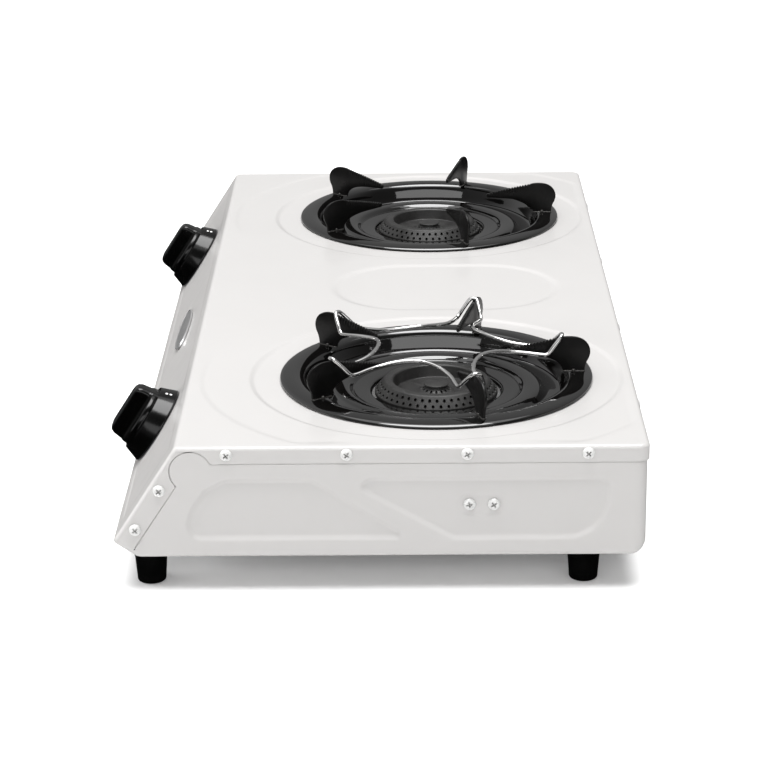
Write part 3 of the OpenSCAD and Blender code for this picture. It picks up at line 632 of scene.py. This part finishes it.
def make_side(sign, name):
    rb, rr = 3.6, 8.0
    yc, zc, ro = Y_REAR - 1.2 - 10, SKIRT + 10, 10.0
    ph = np.linspace(-math.pi / 2, 0, 9)
    rad = rb + (rr - rb) * sstep(0, 1, (ph + math.pi / 2) / (math.pi / 2))
    ry, rz = yc + (ro - rad) * np.cos(ph), zc + (ro - rad) * np.sin(ph)
    ly, lz, lr = -194.5, SKIRT + rb + 2.8, 2.8
    zt = H - 1.5
    zs = np.concatenate([rz, np.arange(zc + 1.1, 69, 1.1), np.arange(69.3, zt, 0.62), [zt]])
    us = np.concatenate([np.linspace(0, 0.23, 118), np.linspace(0.23, 1, 232)[1:]])

    def left(z):
        if z <= lz:
            return ly - math.sqrt(max(0.0, lr ** 2 - (z - lz) ** 2))
        s = (P0[2] - z) / -S_DOWN[2]
        y = P0[1] + s * S_DOWN[1] + 1.5 * 1.1924
        if z < 37.5:
            t = (z - lz) / (37.5 - lz)
            y1 = P0[1] + ((P0[2] - 37.5) / -S_DOWN[2]) * S_DOWN[1] + 1.5 * 1.1924
            return (ly - lr) * (1 - t) + y1 * t
        return y

    def right(z):
        return np.interp(z, rz, ry) if z < zc else Y_REAR - 1.2 - rr

    g = np.empty((len(zs), len(us), 3))
    for j, z in enumerate(zs):
        a, b = left(z), right(z)
        # the top corner keeps inside the cover's fold
        if z > FOLD_Z:
            a = max(a, FOLD_Y - math.sqrt(max(0.0, (FOLD_R - 1.5) ** 2 - (z - FOLD_Z) ** 2)))
        g[j, :, 1] = a + (b - a) * us
        g[j, :, 2] = z
    hh = (g[..., 1] - P0[1]) * N_OUT[1] + (g[..., 2] - P0[2]) * N_OUT[2]
    # points near the notch's step lie exactly on it, so its edge is round
    for target, band in ((NOTCH[2] - 0.8, 0.34), (NOTCH[2] - 0.1, 0.34)):
        d = g[..., 1:] - np.array(NOTCH[:2])
        r = np.hypot(d[..., 0], d[..., 1])
        k = (np.abs(r - target) < band) & (hh < 0) & (g[..., 2] < zt - 0.1)
        k[:, 0] = False
        g[k, 1:] = (np.array(NOTCH[:2]) + d / np.maximum(r, 1e-6)[..., None] * target)[k]
    g[..., 0] = HW - 0.12 + side_x(g[..., 1], g[..., 2], hh)
    s = Shape().grid(g)
    X = np.array([-1.0, 0, 0])
    chain = []
    # lower left corner, lower edge, lower rear corner, rear edge
    for j in range(len(zs) - 1, 0, -1):
        if zs[j] <= lz + 1e-6:
            m = np.array([0, g[j, 0, 1] - ly, zs[j] - lz])
            chain.append((g[j, 0], unit(m), rb, 9.0, 0.0))
    for i in range(len(us)):
        y = g[0, i, 1]
        chain.append((g[0, i], np.array([0, 0, -1.0]), rb, 9 + 27 * float(sstep(-194, -185, y)), float(sstep(112, 117, y))))
    for j in range(1, len(zs)):
        a = ph[j] if j < len(ph) else 0.0
        r = rad[j] if j < len(rad) else rr
        chain.append((g[j, -1], np.array([0, math.cos(a), math.sin(a)]), r, 36 - 3 * float(sstep(0, 8, j)), 1.0))
    P = np.array([c[0] for c in chain]); M = np.array([c[1] for c in chain])
    R = np.array([c[2] for c in chain])[:, None]; D = np.array([c[3] for c in chain])[:, None]; W = np.array([c[4] for c in chain])[:, None]
    rows = [P + R * math.sin(t) * M + R * (1 - math.cos(t)) * X for t in np.linspace(0, math.pi / 2, 9)]
    for t, w in ((0.6, 0), (1.3, 0.5), (2.0, 1.0), (5.0, 1.0)):
        rows.append(P + (R - 1.15 * w * W) * M + (R + t) * X)
    for t in (0.35, 0.7, 1.0):
        rows.append(P + (R - 1.15 * W) * M + (R + 5 + (D - R - 5) * t) * X)
    s.grid(np.array(rows))
    if sign < 0:
        s = s.mirror_x()
    o = to_object(name + "_pressed", s, weld=2e-3)
    m = o.modifiers.new("sheet", "SOLIDIFY")
    m.thickness = 0.9
    m.offset = -1
    apply_modifiers(o)
    return piece(o, ENAMEL, "stove", [name], sharp=42)


side_r = make_side(1, "side_panel_right")
side_l = make_side(-1, "side_panel_left")


def make_rear():
    """Rear panel: a sheet with a rounded foot and air slots."""
    x1 = HW - 9
    yo, zo = Y_REAR - 1.2, SKIRT
    prof = [(yo, z) for z in np.concatenate([np.linspace(H - 1.3, 86, 4), np.linspace(86, 82, 4)[1:], np.linspace(82, 80, 3)[1:], np.linspace(80, 50, 16)[1:], np.linspace(50, 42, 5)[1:], np.linspace(42, SKIRT + 10, 4)[1:]])]
    prof += [(yo - 10 + 10 * math.cos(a), zo + 10 + 10 * math.sin(a)) for a in np.linspace(0, -math.pi / 2, 9)[1:]]
    prof += [(yo - 16, zo)]
    slots = np.arange(-200, 201, 25.0)
    xs = [-x1, -x1 + 1.5]
    for q in slots:
        xs += [q - 6, q - 3.2, q - 2, q, q + 2, q + 3.2, q + 6]
    xs += [x1 - 1.5, x1, -318, -300, -270, -230, 230, 270, 300, 318, -313.5, -286.5]
    xs = np.array(sorted(set(round(float(q), 3) for q in xs)))
    prof = np.array(prof)
    g = np.empty((len(prof), len(xs), 3))
    g[..., 0] = xs[None]
    g[..., 1] = prof[:, 0][:, None]
    g[..., 2] = prof[:, 1][:, None]
    s = Shape()
    idx = np.arange(g.shape[0] * g.shape[1]).reshape(g.shape[:2])
    faces = []
    for i in range(len(prof) - 1):
        for j in range(len(xs) - 1):
            cz, cx = (prof[i, 1] + prof[i + 1, 1]) / 2, (xs[j] + xs[j + 1]) / 2
            if 50 < cz < 80 and np.min(np.abs(slots - cx)) < 2:
                continue
            faces.append((idx[i, j], idx[i + 1, j], idx[i + 1, j + 1], idx[i, j + 1]))
    s.add(g.reshape(-1, 3), faces)
    o = to_object("rear_panel_pressed", s, weld=1e-3)
    m = o.modifiers.new("sheet", "SOLIDIFY")
    m.thickness = 1.0
    m.offset = -1
    apply_modifiers(o)
    cut = to_object("inlet_cut", rod([-300, yo - 6, NIPPLE_Z], [-300, yo + 6, NIPPLE_Z], 12.0, n=48))
    carve(o, cut)
    bevel(o, 0.22, 2, 50)
    return piece(o, ENAMEL, "stove", ["rear_panel"], sharp=42)


nip_lo, nip_hi = corners("hose_nipple")
NIPPLE_Z = (nip_lo[2] + nip_hi[2]) / 2
rear = make_rear()


# ---------- screws ----------
def pan_screw(length=7.0, r=1.9, hr=4.0, hh=2.4):
    dome = [(0.02, hh), (0.22 * hr, 0.985 * hh), (0.45 * hr, 0.93 * hh), (0.66 * hr, 0.82 * hh), (0.82 * hr, 0.66 * hh), (0.93 * hr, 0.45 * hh), (0.985 * hr, 0.24 * hh), (hr, 0.1 * hh), (0.985 * hr, 0.0),
            (r + 0.2, 0.0), (r, -0.3), (r, -length + 0.8), (r - 0.7, -length), (0.02, -length)]
    o = to_object("screw_t", revolve(dome, 40, closed=False), weld=0.06)
    cross = Shape()
    for a in (0, math.pi / 2):
        x, y = np.array([math.cos(a), math.sin(a), 0]), np.array([-math.sin(a), math.cos(a), 0])
        w0, w1, l0, l1, z0, z1 = 0.10 * hr, 0.145 * hr, 0.24 * hr, 0.56 * hr, -0.9, hh + 0.5
        pts = [sx * l * x + sy * w * y + np.array([0, 0, z]) for z, l, w in ((z0, l0, w0), (z1, l1 * 1.08, w1)) for sx, sy in ((-1, -1), (1, -1), (1, 1), (-1, 1))]
        cross.add(pts, [(3, 2, 1, 0), (4, 5, 6, 7), (0, 1, 5, 4), (1, 2, 6, 5), (2, 3, 7, 6), (3, 0, 4, 7)])
    c = to_object("cross_t", cross, weld=0)
    m = o.modifiers.new("cut", "BOOLEAN")
    m.operation = "DIFFERENCE"
    m.solver = "EXACT"
    m.use_self = True
    m.object = c
    apply_modifiers(o)
    me = c.data
    bpy.data.objects.remove(c)
    bpy.data.meshes.remove(me)
    sh = Shape().add([v.co[:] for v in o.data.vertices], [tuple(p.vertices) for p in o.data.polygons])
    me = o.data
    bpy.data.objects.remove(o)
    bpy.data.meshes.remove(me)
    return sh


def frame_of(z):
    z = unit(np.array(z, float))
    x = unit(np.cross([0, 0, 1.0] if abs(z[2]) < 0.9 else [0, 1.0, 0], z))
    return x, np.cross(z, x), z


def screws(name, spots, template, spin=0.6):
    s = Shape()
    for k, (p, z) in enumerate(spots):
        x, y, z = frame_of(z)
        a = spin + 0.37 * k * k
        x, y = math.cos(a) * x + math.sin(a) * y, -math.sin(a) * x + math.cos(a) * y
        s.copy_from(placed(template, p, x, y, z))
    return piece(to_object(name + "_heads", s, weld=0), SCREW, "stove", [name], sharp=35)


SCREW_T = pan_screw()
top_y = [-136.8, -59.5, 18, 95.5]
screws("cover_screws", [((s * HW, y, H - 5.2), (s, 0, 0)) for s in (1, -1) for y in top_y] +
       [((s * HW, q[0], q[1]), (s, 0, 0)) for s in (1, -1) for q in ((-180.7, 71.2), (-197, 44.2))], SCREW_T)
rs_lo, rs_hi = corners("rail_screws")
screws("rail_screws", [((s * (rs_hi[0] - 2.4), y, 60), (s, 0, 0)) for s in (1, -1) for y in (19.4, 35.2)], pan_screw(6.0), 0.2)
screws("rear_screws", [((x, Y_REAR, H - 7.2), (0, 1, 0)) for x in (-250, -85, 85, 250)] +
       [((s * 318, Y_REAR - 1.2, z), (0, 1, 0)) for s in (1, -1) for z in (45, 75)], pan_screw(6.0, hh=1.8), 1.1)


# ---------- feet ----------
def make_feet():
    lo, hi = corners("feet")
    fx = hi[0] - 11.0
    prof = [(4.6, 6.0), (4.6, 0.7), (5.2, 0.0)] + [(7.6 + 1.9 * math.cos(a), 1.9 + 1.9 * math.sin(a)) for a in np.linspace(-math.pi / 2, -0.12, 7)]
    prof += [(9.58, 3.6), (9.72, 6.0), (10.2, 12.0), (10.58, 17.0), (10.62, 17.3), (10.9, 17.7), (11.0, 18.1), (11.0, SKIRT - 0.5), (10.6, SKIRT), (2.2, SKIRT), (2.2, 6.0)]
    s = Shape()
    for sx in (1, -1):
        for y in (-189.5, 95.0):
            s.copy_from(revolve(prof, 72, (sx * fx, y, 0)))
    return piece(to_object("feet_moulded", s), RUBBER, "stove", ["feet"], sharp=40)


make_feet()


# ---------- badge: a blank domed oval plate ----------
def make_badge():
    a, b = 42.0, 10.4
    rows = []
    for k, h in ((1.0, 0.02), (1.0, 0.7), (0.994, 1.0), (0.982, 1.2), (0.955, 1.34), (0.90, 1.38), (0.875, 1.12), (0.86, 1.06), (0.75, 1.13), (0.55, 1.2), (0.3, 1.24), (0.02, 1.26)):
        t = np.linspace(0, 2 * math.pi, 128, endpoint=False)
        ka, kb = a - (1 - k) * b * 1.2, b - (1 - k) * b
        rows.append(np.stack([max(ka, 0.02) * np.cos(t) if k > 0.6 else a * k * np.cos(t), kb * np.sin(t) if k > 0.6 else b * k * np.sin(t), np.full_like(t, h)], 1))
    g = np.array(rows)
    s = Shape().grid(g, closed_v=True, flip=True)
    s.ngon(g[0])
    s.ngon(g[-1][::-1])
    lo, hi = corners("badge")
    cx = (lo[0] + hi[0]) / 2
    o = to_object("badge_plate", on_panel(s, cx, 36.5, 0.0), weld=0.01)
    return piece(o, BADGE, "stove", ["badge"], sharp=30)


make_badge()


# ---------- knobs and their skirts ----------
def make_knobs():
    skirt = rounded([(25.6, 0.02), (28, 0.02), (27.9, 1.2), (23.9, 12.0), (21.95, 12.0), (21.9, 6.4), (11.4, 6.4), (11.4, 4.4), (22.4, 4.4), (23.6, 3.4)],
                    [0.1, 0.35, 0.4, 0.55, 0.45, 0.5, 0.5, 0.3, 0.5, 0.4], seg=4)
    kr = 21.4
    disc = rounded([(0.02, 9.9), (kr - 0.3, 9.9), (kr - 0.05, 13.6), (kr - 0.5, 15.6), (kr - 1.8, 16.3), (8, 16.45), (0.02, 16.5)], [0, 0.5, 1.2, 1.4, 1.4, 0, 0], seg=4)

    def ring(h, a, b, rc, n=10):
        rc = min(rc, a - 0.01, b - 0.01)
        pts = []
        for sx, sy, a0 in ((1, 1, 0), (-1, 1, 90), (-1, -1, 180), (1, -1, 270)):
            for k in range(n + 1):
                t = math.radians(a0 + 90 * k / n)
                pts.append([sx * (a - rc) + rc * math.cos(t), sy * (b - rc) + rc * math.sin(t), h])
        return pts

    top = 28.2
    for side, sx in (("right", 1), ("left", -1)):
        s = Shape()
        rows = []
        for h in [12.0, 15.6, 16.3, 16.7, 17.2, 17.8, 19.0, 21.0, 22.6] + list(np.linspace(22.7, top, 14)):
            flare = 0.9 * (1 - float(sstep(16.2, 17.9, h))) ** 2 if h < 18 else 0.0
            a = 6.9 - 0.030 * (h - 16) + flare
            b = 20.5 - 0.12 * (h - 16) + 0.4 * flare
            ra, rbb = 2.2, 5.2
            if h > top - ra:
                a -= ra - math.sqrt(max(0.0, ra ** 2 - (h - top + ra) ** 2))
            if h > top - rbb:
                b -= rbb - math.sqrt(max(0.0, rbb ** 2 - (h - top + rbb) ** 2))
            rows.append(ring(h, a, b, 3.4 if h < top - ra else 2.6))
        g = np.array(rows)
        s.grid(g, closed_v=True)
        s.ngon(g[0][::-1])
        s.ngon(g[-1])
        # the round disc the grip stands on, and the stem under it
        s.copy_from(revolve(disc, 128, closed=False))
        s.copy_from(rod([0, 0, 2.2], [0, 0, 10.2], 10.8, n=64))
        o = to_object("knob_%s_moulded" % side, on_panel(s, sx * BX), weld=0.012)
        piece(o, KNOB_M, "tap_" + side, ["knob_" + side], sharp=40)
        o = to_object("knob_bezel_%s_moulded" % side, on_panel(revolve(skirt, 160), sx * BX), weld=0.002)
        piece(o, KNOB_M, "stove", ["knob_bezel_" + side], sharp=40)
        # two small printed dots at the top of the skirt
        dots = Shape()
        for ang, hz in ((80.0, 4.9), (80.0, 7.6)):
            t = math.radians(ang)
            rz = 27.9 + (23.9 - 27.9) * (hz - 1.2) / 10.8
            n = unit(np.array([math.cos(t), math.sin(t), 4.0 / 10.8]))
            x, y, z = frame_of(n)
            lens = [(0.02, 0.14), (0.4, 0.13), (0.75, 0.10), (0.95, 0.04), (1.0, -0.1), (0.02, -0.1)]
            dots.copy_from(placed(revolve(lens, 24, closed=False), [rz * math.cos(t), rz * math.sin(t), hz], x, y, z))
        piece(to_object("knob_dots_" + side, on_panel(dots, sx * BX), weld=0.01), MARK, "stove", sharp=60)


make_knobs()


# ---------- drip pans ----------
PAN_LINE = [(PAN_R, -0.35), (107.4, 0.75), (105.2, 1.8), (101, 2.5), (97.5, 2.62), (94.5, 2.2), (92, 1.1), (90.4, -0.9), (89, -4.5), (87.5, -9), (86.1, -11.4),
            (83.6, -12.4), (78.4, -12.5), (75.6, -11.8), (73.4, -9.6), (71.4, -7.6), (68.6, -6.8), (63.4, -6.8), (60.4, -7.4), (58.6, -8.9), (57.4, -10.1), (56.0, -10.0), (50, -10.4), (46.4, -10.8), (45.2, -11.7), (44.9, -13.4)]
FIN_A0, FINS = 17.0, 5


def make_pan(side, sx):
    line = spline(PAN_LINE, 5)
    under = offset_line(line, -0.8)
    edge = line[0] + np.array([0.28, -0.42])
    lip = line[-1] + np.array([-0.4, -0.3])
    prof = list(line) + [lip] + list(under[::-1])
    prof[0] = line[0] + np.array([0.0, -0.1])
    s = revolve(prof, 224, (sx * BX, 0, H))
    return piece(to_object("drip_pan_%s_pressed" % side, s), BLACK, "pan_" + side, ["drip_pan_" + side], sharp=50)


# ---------- pot-support fins ----------
def fin_top(r):
    return 18.7 + 0.245 * (r - 49.3) - 0.0007 * (r - 49.3) ** 2


def fin_shape():
    teeth, r0, r1 = 15, 51.0, 84.2
    crown = []
    for i in range(teeth):
        a, b = r0 + (r1 - r0) * i / teeth, r0 + (r1 - r0) * (i + 1) / teeth
        for t, dz in ((0.0, -1.0), (0.18, -0.2), (0.38, 0.06), (0.62, -0.02), (0.86, -0.75)):
            r = a + (b - a) * t
            crown.append((r, fin_top(r) + dz))
    head = spline([(84.6, 26.35), (87.6, 27.1), (91, 27.35), (95, 27.15), (98.6, 26.3), (101.8, 24.6), (104.3, 22.0), (105.8, 18.6), (106.0, 15.4), (105.2, 12.2), (103.7, 9.2), (102.8, 6.2), (102.4, 3.2)], 3)
    base = [(102.35, 2.3), (87.3, 2.3)]
    arch = spline([(87.0, 3.4), (86.4, 5.2), (84.6, 7.7), (81.6, 10.0), (77, 11.9), (71, 13.3), (64, 14.1), (57, 14.5), (52.2, 14.8)], 3)
    toe = [(50.2 + 1.95 * math.cos(a), 16.75 + 1.95 * math.sin(a)) for a in np.linspace(math.radians(250), math.radians(120), 7)]
    out = crown + [tuple(p) for p in head] + base + [tuple(p) for p in arch] + toe
    out = np.array(out)
    th = 1.0
    nrm = np.roll(out, -1, 0) - np.roll(out, 1, 0)
    nrm = unit(nrm)
    nrm = np.stack([nrm[:, 1], -nrm[:, 0]], 1)
    area = 0.5 * np.sum(out[:, 0] * np.roll(out[:, 1], -1) - np.roll(out[:, 0], -1) * out[:, 1])
    if area < 0:
        nrm = -nrm
    rings = []
    for inset, v in ((0.42, th), (0.22, th - 0.07), (0.07, th - 0.21), (0.0, th - 0.42), (0.0, -th + 0.42), (0.07, -th + 0.21), (0.22, -th + 0.07), (0.42, -th)):
        q = out - nrm * inset
        rings.append(np.stack([q[:, 0], np.full(len(q), v), q[:, 1]], 1))
    g = np.array(rings)
    s = Shape().grid(g, closed_v=True)
    s.ngon(g[0][::-1])
    s.ngon(g[-1])
    # short pressed ridges on both faces, under the teeth
    for i in range(teeth):
        r = r0 + (r1 - r0) * (i + 0.45) / teeth
        for sg in (1, -1):
            a, b = [r + 0.1, sg * (th - 0.12), fin_top(r) - 0.75], [r + 0.75, sg * (th - 0.22), fin_top(r) - 3.9]
            s.copy_from(rod(a, b, 0.52, 0.34, n=8))
    # foot: a thin strip welded on the rim, with a rivet
    foot = rounded([(86.9, -1.75), (102.8, -1.75), (102.8, 1.75), (86.9, 1.75)], 1.5, seg=4)
    fr = []
    for inset, z in ((0.0, 2.2), (0.0, 2.85), (0.12, 3.0), (0.35, 3.06)):
        q = np.array(rounded([(86.9 + inset, -1.75 + inset), (102.8 - inset, -1.75 + inset), (102.8 - inset, 1.75 - inset), (86.9 + inset, 1.75 - inset)], 1.5 - inset, seg=4))
        fr.append(np.column_stack([q, np.full(len(q), z)]))
    fr = np.array(fr)
    strip = Shape().grid(fr, closed_v=True)
    strip.ngon(fr[0][::-1])
    strip.ngon(fr[-1])
    rivet = [(0.02, 4.35), (0.5, 4.3), (0.95, 4.05), (1.2, 3.65), (1.25, 3.2), (1.25, 2.4), (0.02, 2.4)]
    riv = Shape()
    for v in (1.35, -1.35):
        riv.copy_from(revolve(rivet, 20, (94.6, v, 0), closed=False))
    return s, strip, riv


def make_fins(side, sx):
    plate, strip, riv = fin_shape()
    s, feet = Shape(), Shape()
    for k in range(FINS):
        a = math.radians(FIN_A0 + 360 * k / FINS)
        x, y = [math.cos(a), math.sin(a), 0], [-math.sin(a), math.cos(a), 0]
        s.copy_from(placed(plate, (sx * BX, 0, H), x, y, [0, 0, 1]))
        for q in (strip, riv):
            feet.copy_from(placed(q, (sx * BX, 0, H), x, y, [0, 0, 1]))
    # the feet's lighter colour is a painted highlight along the fin's foot
    piece(to_object("pan_fin_feet_%s" % side, feet, weld=0.012), FIN_FOOT_HIGHLIGHT, "pan_" + side, sharp=40)
    return piece(to_object("pan_fins_%s_cut" % side, s, weld=0.012), FIN, "pan_" + side, ["pan_fins_" + side], sharp=40)


# ---------- burner heads and caps ----------
PORTS = 48


def make_head(side, sx):
    prof = [(9.4, -15.6), (12.5, -15.6), (12.5, -13.6), (31, -13.6), (31, -5.15), (33.4, -5.15), (38.4, -10.2), (38.4, -10.6), (34.4, -10.6), (34.4, -16), (36.4, -16), (36.4, -12), (41, -12), (41, -13.6),
            (42.5, -13.6), (42.5, -11.1), (42.0, -10.5), (36.3, -3.95), (35.2, -3.4), (30.7, -3.4), (29.8, -4.2), (28.2, -12.0), (9.4, -12.0)]
    rad = [0.3, 0.3, 0, 0, 0, 0, 0, 0, 0, 0.3, 0.3, 0, 0, 0.3, 0.4, 0.4, 0.4, 0.5, 0.5, 0.6, 0.6, 1.0, 0.3]
    o = to_object("burner_head_%s_cast" % side, revolve(rounded(prof, rad, seg=3), 192, (sx * BX, 0, H), phase=math.pi / 192))
    cut = Shape()
    for i in range(PORTS):
        for off, r, z in ((0.0, 36.6, -6.3), (0.5, 39.2, -9.5)):
            a = 2 * math.pi * (i + off) / PORTS
            d = np.array([math.cos(a), math.sin(a), 0])
            c = np.array([sx * BX, 0, H + z])
            cut.copy_from(rod(c + d * (r - 3.4), c + d * (r + 5), 1.06, n=16))
    carve(o, to_object("ports_" + side, cut, weld=0))
    return piece(o, CAST, "head_" + side, ["burner_head_" + side], sharp=32)


def make_cap(side, sx):
    prof = [(0.02, -6.0), (3, -6.02), (6, -6.08), (7.8, -6.2), (8.45, -6.45), (8.7, -6.8), (8.62, -7.2), (8.1, -7.45), (7.55, -7.75), (7.6, -8.3), (8.1, -9.2), (9.1, -10.1), (10.6, -10.9), (12.2, -11.5), (12.9, -11.8), (12.8, -11.98), (9.1, -12.0), (9.1, -16), (6.6, -16), (6.6, -9.4), (0.02, -7.6)]
    o = to_object("burner_cap_%s_cast" % side, revolve(prof, 96, (sx * BX, 0, H), closed=False, phase=math.pi / 96), weld=0.01)
    bm = bmesh.new()
    bm.from_mesh(o.data)
    bmesh.ops.remove_doubles(bm, verts=[v for v in bm.verts if math.hypot(v.co.x - sx * BX, v.co.y) < 0.1], dist=0.08)
    bm.to_mesh(o.data)
    bm.free()
    cut = Shape()
    for i in range(16):
        a = 2 * math.pi * i / 16
        d = np.array([math.cos(a), math.sin(a), 0])
        c = np.array([sx * BX, 0, H - 10.25])
        cut.copy_from(rod(c + d * 7.2, c + d * 14, 0.85, n=14))
    carve(o, to_object("cap_ports_" + side, cut, weld=0))
    return piece(o, CAST, "cap_" + side, ["burner_cap_" + side], sharp=32)


for side, sx in (("right", 1), ("left", -1)):
    make_pan(side, sx)
    make_fins(side, sx)
    make_head(side, sx)
    make_cap(side, sx)


# ---------- wire trivet ----------
WIRE_R = 1.4
HALF = [(86.5, 0, 28.7), (86.1, 2.1, 28.2), (84.6, 3.7, 26.4), (80.6, 6.3, 21.9), (76.6, 8.5, 17.4), (72, 9, 17), (62, 8.6, 18.1), (53, 9.5, 19.2), (44.9, 12.4, 20.6), (37.8, 17, 21.7)]
MID = (39.5 * math.cos(math.radians(36)), 39.5 * math.sin(math.radians(36)), 22.3)


def make_trivet():
    lobe = [(MID[0], -MID[1], MID[2])] + [(u, -v, z) for u, v, z in HALF[:0:-1]] + HALF
    pts = []
    for k in range(FINS):
        a = math.radians(FIN_A0 + 72 * k)
        pts += [(BX + u * math.cos(a) - v * math.sin(a), u * math.sin(a) + v * math.cos(a), H + z) for u, v, z in lobe]
    path = spline(pts, 7, closed=True)
    t = unit(np.roll(path, -1, 0) - np.roll(path, 1, 0))
    n = unit(np.cross(t, [0, 0, 1.0]))
    u = np.cross(n, t)
    q = np.arange(18) * 2 * math.pi / 18
    g = path[:, None] + WIRE_R * (np.cos(q)[None, :, None] * n[:, None] + np.sin(q)[None, :, None] * u[:, None])
    return piece(to_object("wire_trivet_bent", Shape().grid(g, closed_u=True, closed_v=True)), CHROME, "trivet", ["wire_trivet"], sharp=60)


make_trivet()


# ---------- floor, light and camera ----------
def plain(name, colour, rough, glow=0.0):
    m = bpy.data.materials.new(name)
    m.use_nodes = True
    b = m.node_tree.nodes["Principled BSDF"]
    b.inputs["Base Color"].default_value = tuple(colour) + (1,)
    b.inputs["Roughness"].default_value = rough
    b.inputs["Specular IOR Level"].default_value = 0.2
    b.inputs["Emission Color"].default_value = (1, 1, 1, 1)
    b.inputs["Emission Strength"].default_value = glow
    return m


me = bpy.data.meshes.new("floor")
me.from_pydata([(-14, -14, 0), (14, -14, 0), (14, 14, 0), (-14, 14, 0)], [], [(0, 1, 2, 3)])
floor = bpy.data.objects.new("floor", me)
bpy.context.scene.collection.objects.link(floor)
me.materials.append(plain("floor_white", (0.88, 0.88, 0.88), 0.9, 0.12))
floor.visible_glossy = False

scene = bpy.context.scene
scene.view_settings.view_transform = "Standard"
scene.view_settings.look = "None"
world = bpy.data.worlds.new("studio")
scene.world = world
world.use_nodes = True
nt = world.node_tree
nt.nodes.clear()
w_out = nt.nodes.new("ShaderNodeOutputWorld")
w_bg = nt.nodes.new("ShaderNodeBackground")
w_tc = nt.nodes.new("ShaderNodeTexCoord")
w_sep = nt.nodes.new("ShaderNodeSeparateXYZ")
nt.links.new(w_tc.outputs["Generated"], w_sep.inputs[0])


def w_range(src, a, b, lo, hi):
    r = nt.nodes.new("ShaderNodeMapRange")
    r.interpolation_type = "SMOOTHSTEP"
    for k, v in (("From Min", a), ("From Max", b), ("To Min", lo), ("To Max", hi)):
        r.inputs[k].default_value = v
    nt.links.new(w_sep.outputs[src], r.inputs["Value"])
    return r.outputs[0]


def w_times(a, b):
    m = nt.nodes.new("ShaderNodeMath")
    m.operation = "MULTIPLY"
    nt.links.new(a, m.inputs[0])
    nt.links.new(b, m.inputs[1])
    return m.outputs[0]


# brighter overhead, behind and towards the knobs, dim on the viewer's side, dark below the table's level
w_level = w_times(w_range("X", -0.45, 0.5, 0.30, 0.09), w_range("Z", 0.0, 0.9, 0.90, 1.40))
w_level = w_times(w_level, w_times(w_range("Y", -0.95, -0.15, 2.2, 1.0), w_range("Z", -0.06, 0.02, 0.02, 1.0)))
nt.links.new(w_level, w_bg.inputs[1])
w_bg.inputs[0].default_value = (1, 1, 1, 1)
nt.links.new(w_bg.outputs[0], w_out.inputs[0])


def softbox(name, at, to, w, h, power, colour=(1, 1, 1), spread=180):
    li = bpy.data.lights.new(name, "AREA")
    li.shape = "RECTANGLE"
    li.size, li.size_y = w, h
    li.energy = power
    li.color = colour
    li.spread = math.radians(spread)
    o = bpy.data.objects.new(name, li)
    scene.collection.objects.link(o)
    o.location = at
    o.rotation_euler = (Vector(to) - Vector(at)).to_track_quat("-Z", "Y").to_euler()
    return o


softbox("key_overhead", (0.1, 0.0, 2.3), (-0.05, 0, 0), 2.4, 2.4, 24)
softbox("front_strip", (2.45, 0.0, 1.05), (0, 0, 0.09), 4.0, 0.85, 20)
softbox("knob_side", (0.15, -2.4, 0.95), (0, -0.2, 0.06), 2.0, 0.8, 26).visible_glossy = False

li = bpy.data.lights.new("sun_soft", "SUN")
li.energy = 3.7
li.angle = math.radians(42)
o = bpy.data.objects.new("sun_soft", li)
scene.collection.objects.link(o)
o.rotation_euler = Vector((-0.04, 0.0, -1)).to_track_quat("-Z", "Y").to_euler()

C = Vector((1.87530163, -0.02323177 + DY * MM, 0.68196868))
AZ, EL, ROLL = 0.0077, 0.3385, -0.0092
back = Vector((math.cos(AZ) * math.cos(EL), math.sin(AZ) * math.cos(EL), math.sin(EL)))
right = Vector((0, 0, 1)).cross(back).normalized()
up = back.cross(right)
r2 = right * math.cos(ROLL) + up * math.sin(ROLL)
u2 = -right * math.sin(ROLL) + up * math.cos(ROLL)
cam = bpy.data.cameras.new("camera")
cam.lens = 120.0
cam.sensor_width = 36.0
cam.clip_end = 60
camo = bpy.data.objects.new("camera", cam)
scene.collection.objects.link(camo)
rot = Matrix((r2, u2, back)).transposed()
camo.matrix_world = Matrix.Translation(C) @ rot.to_4x4()
scene.camera = camo
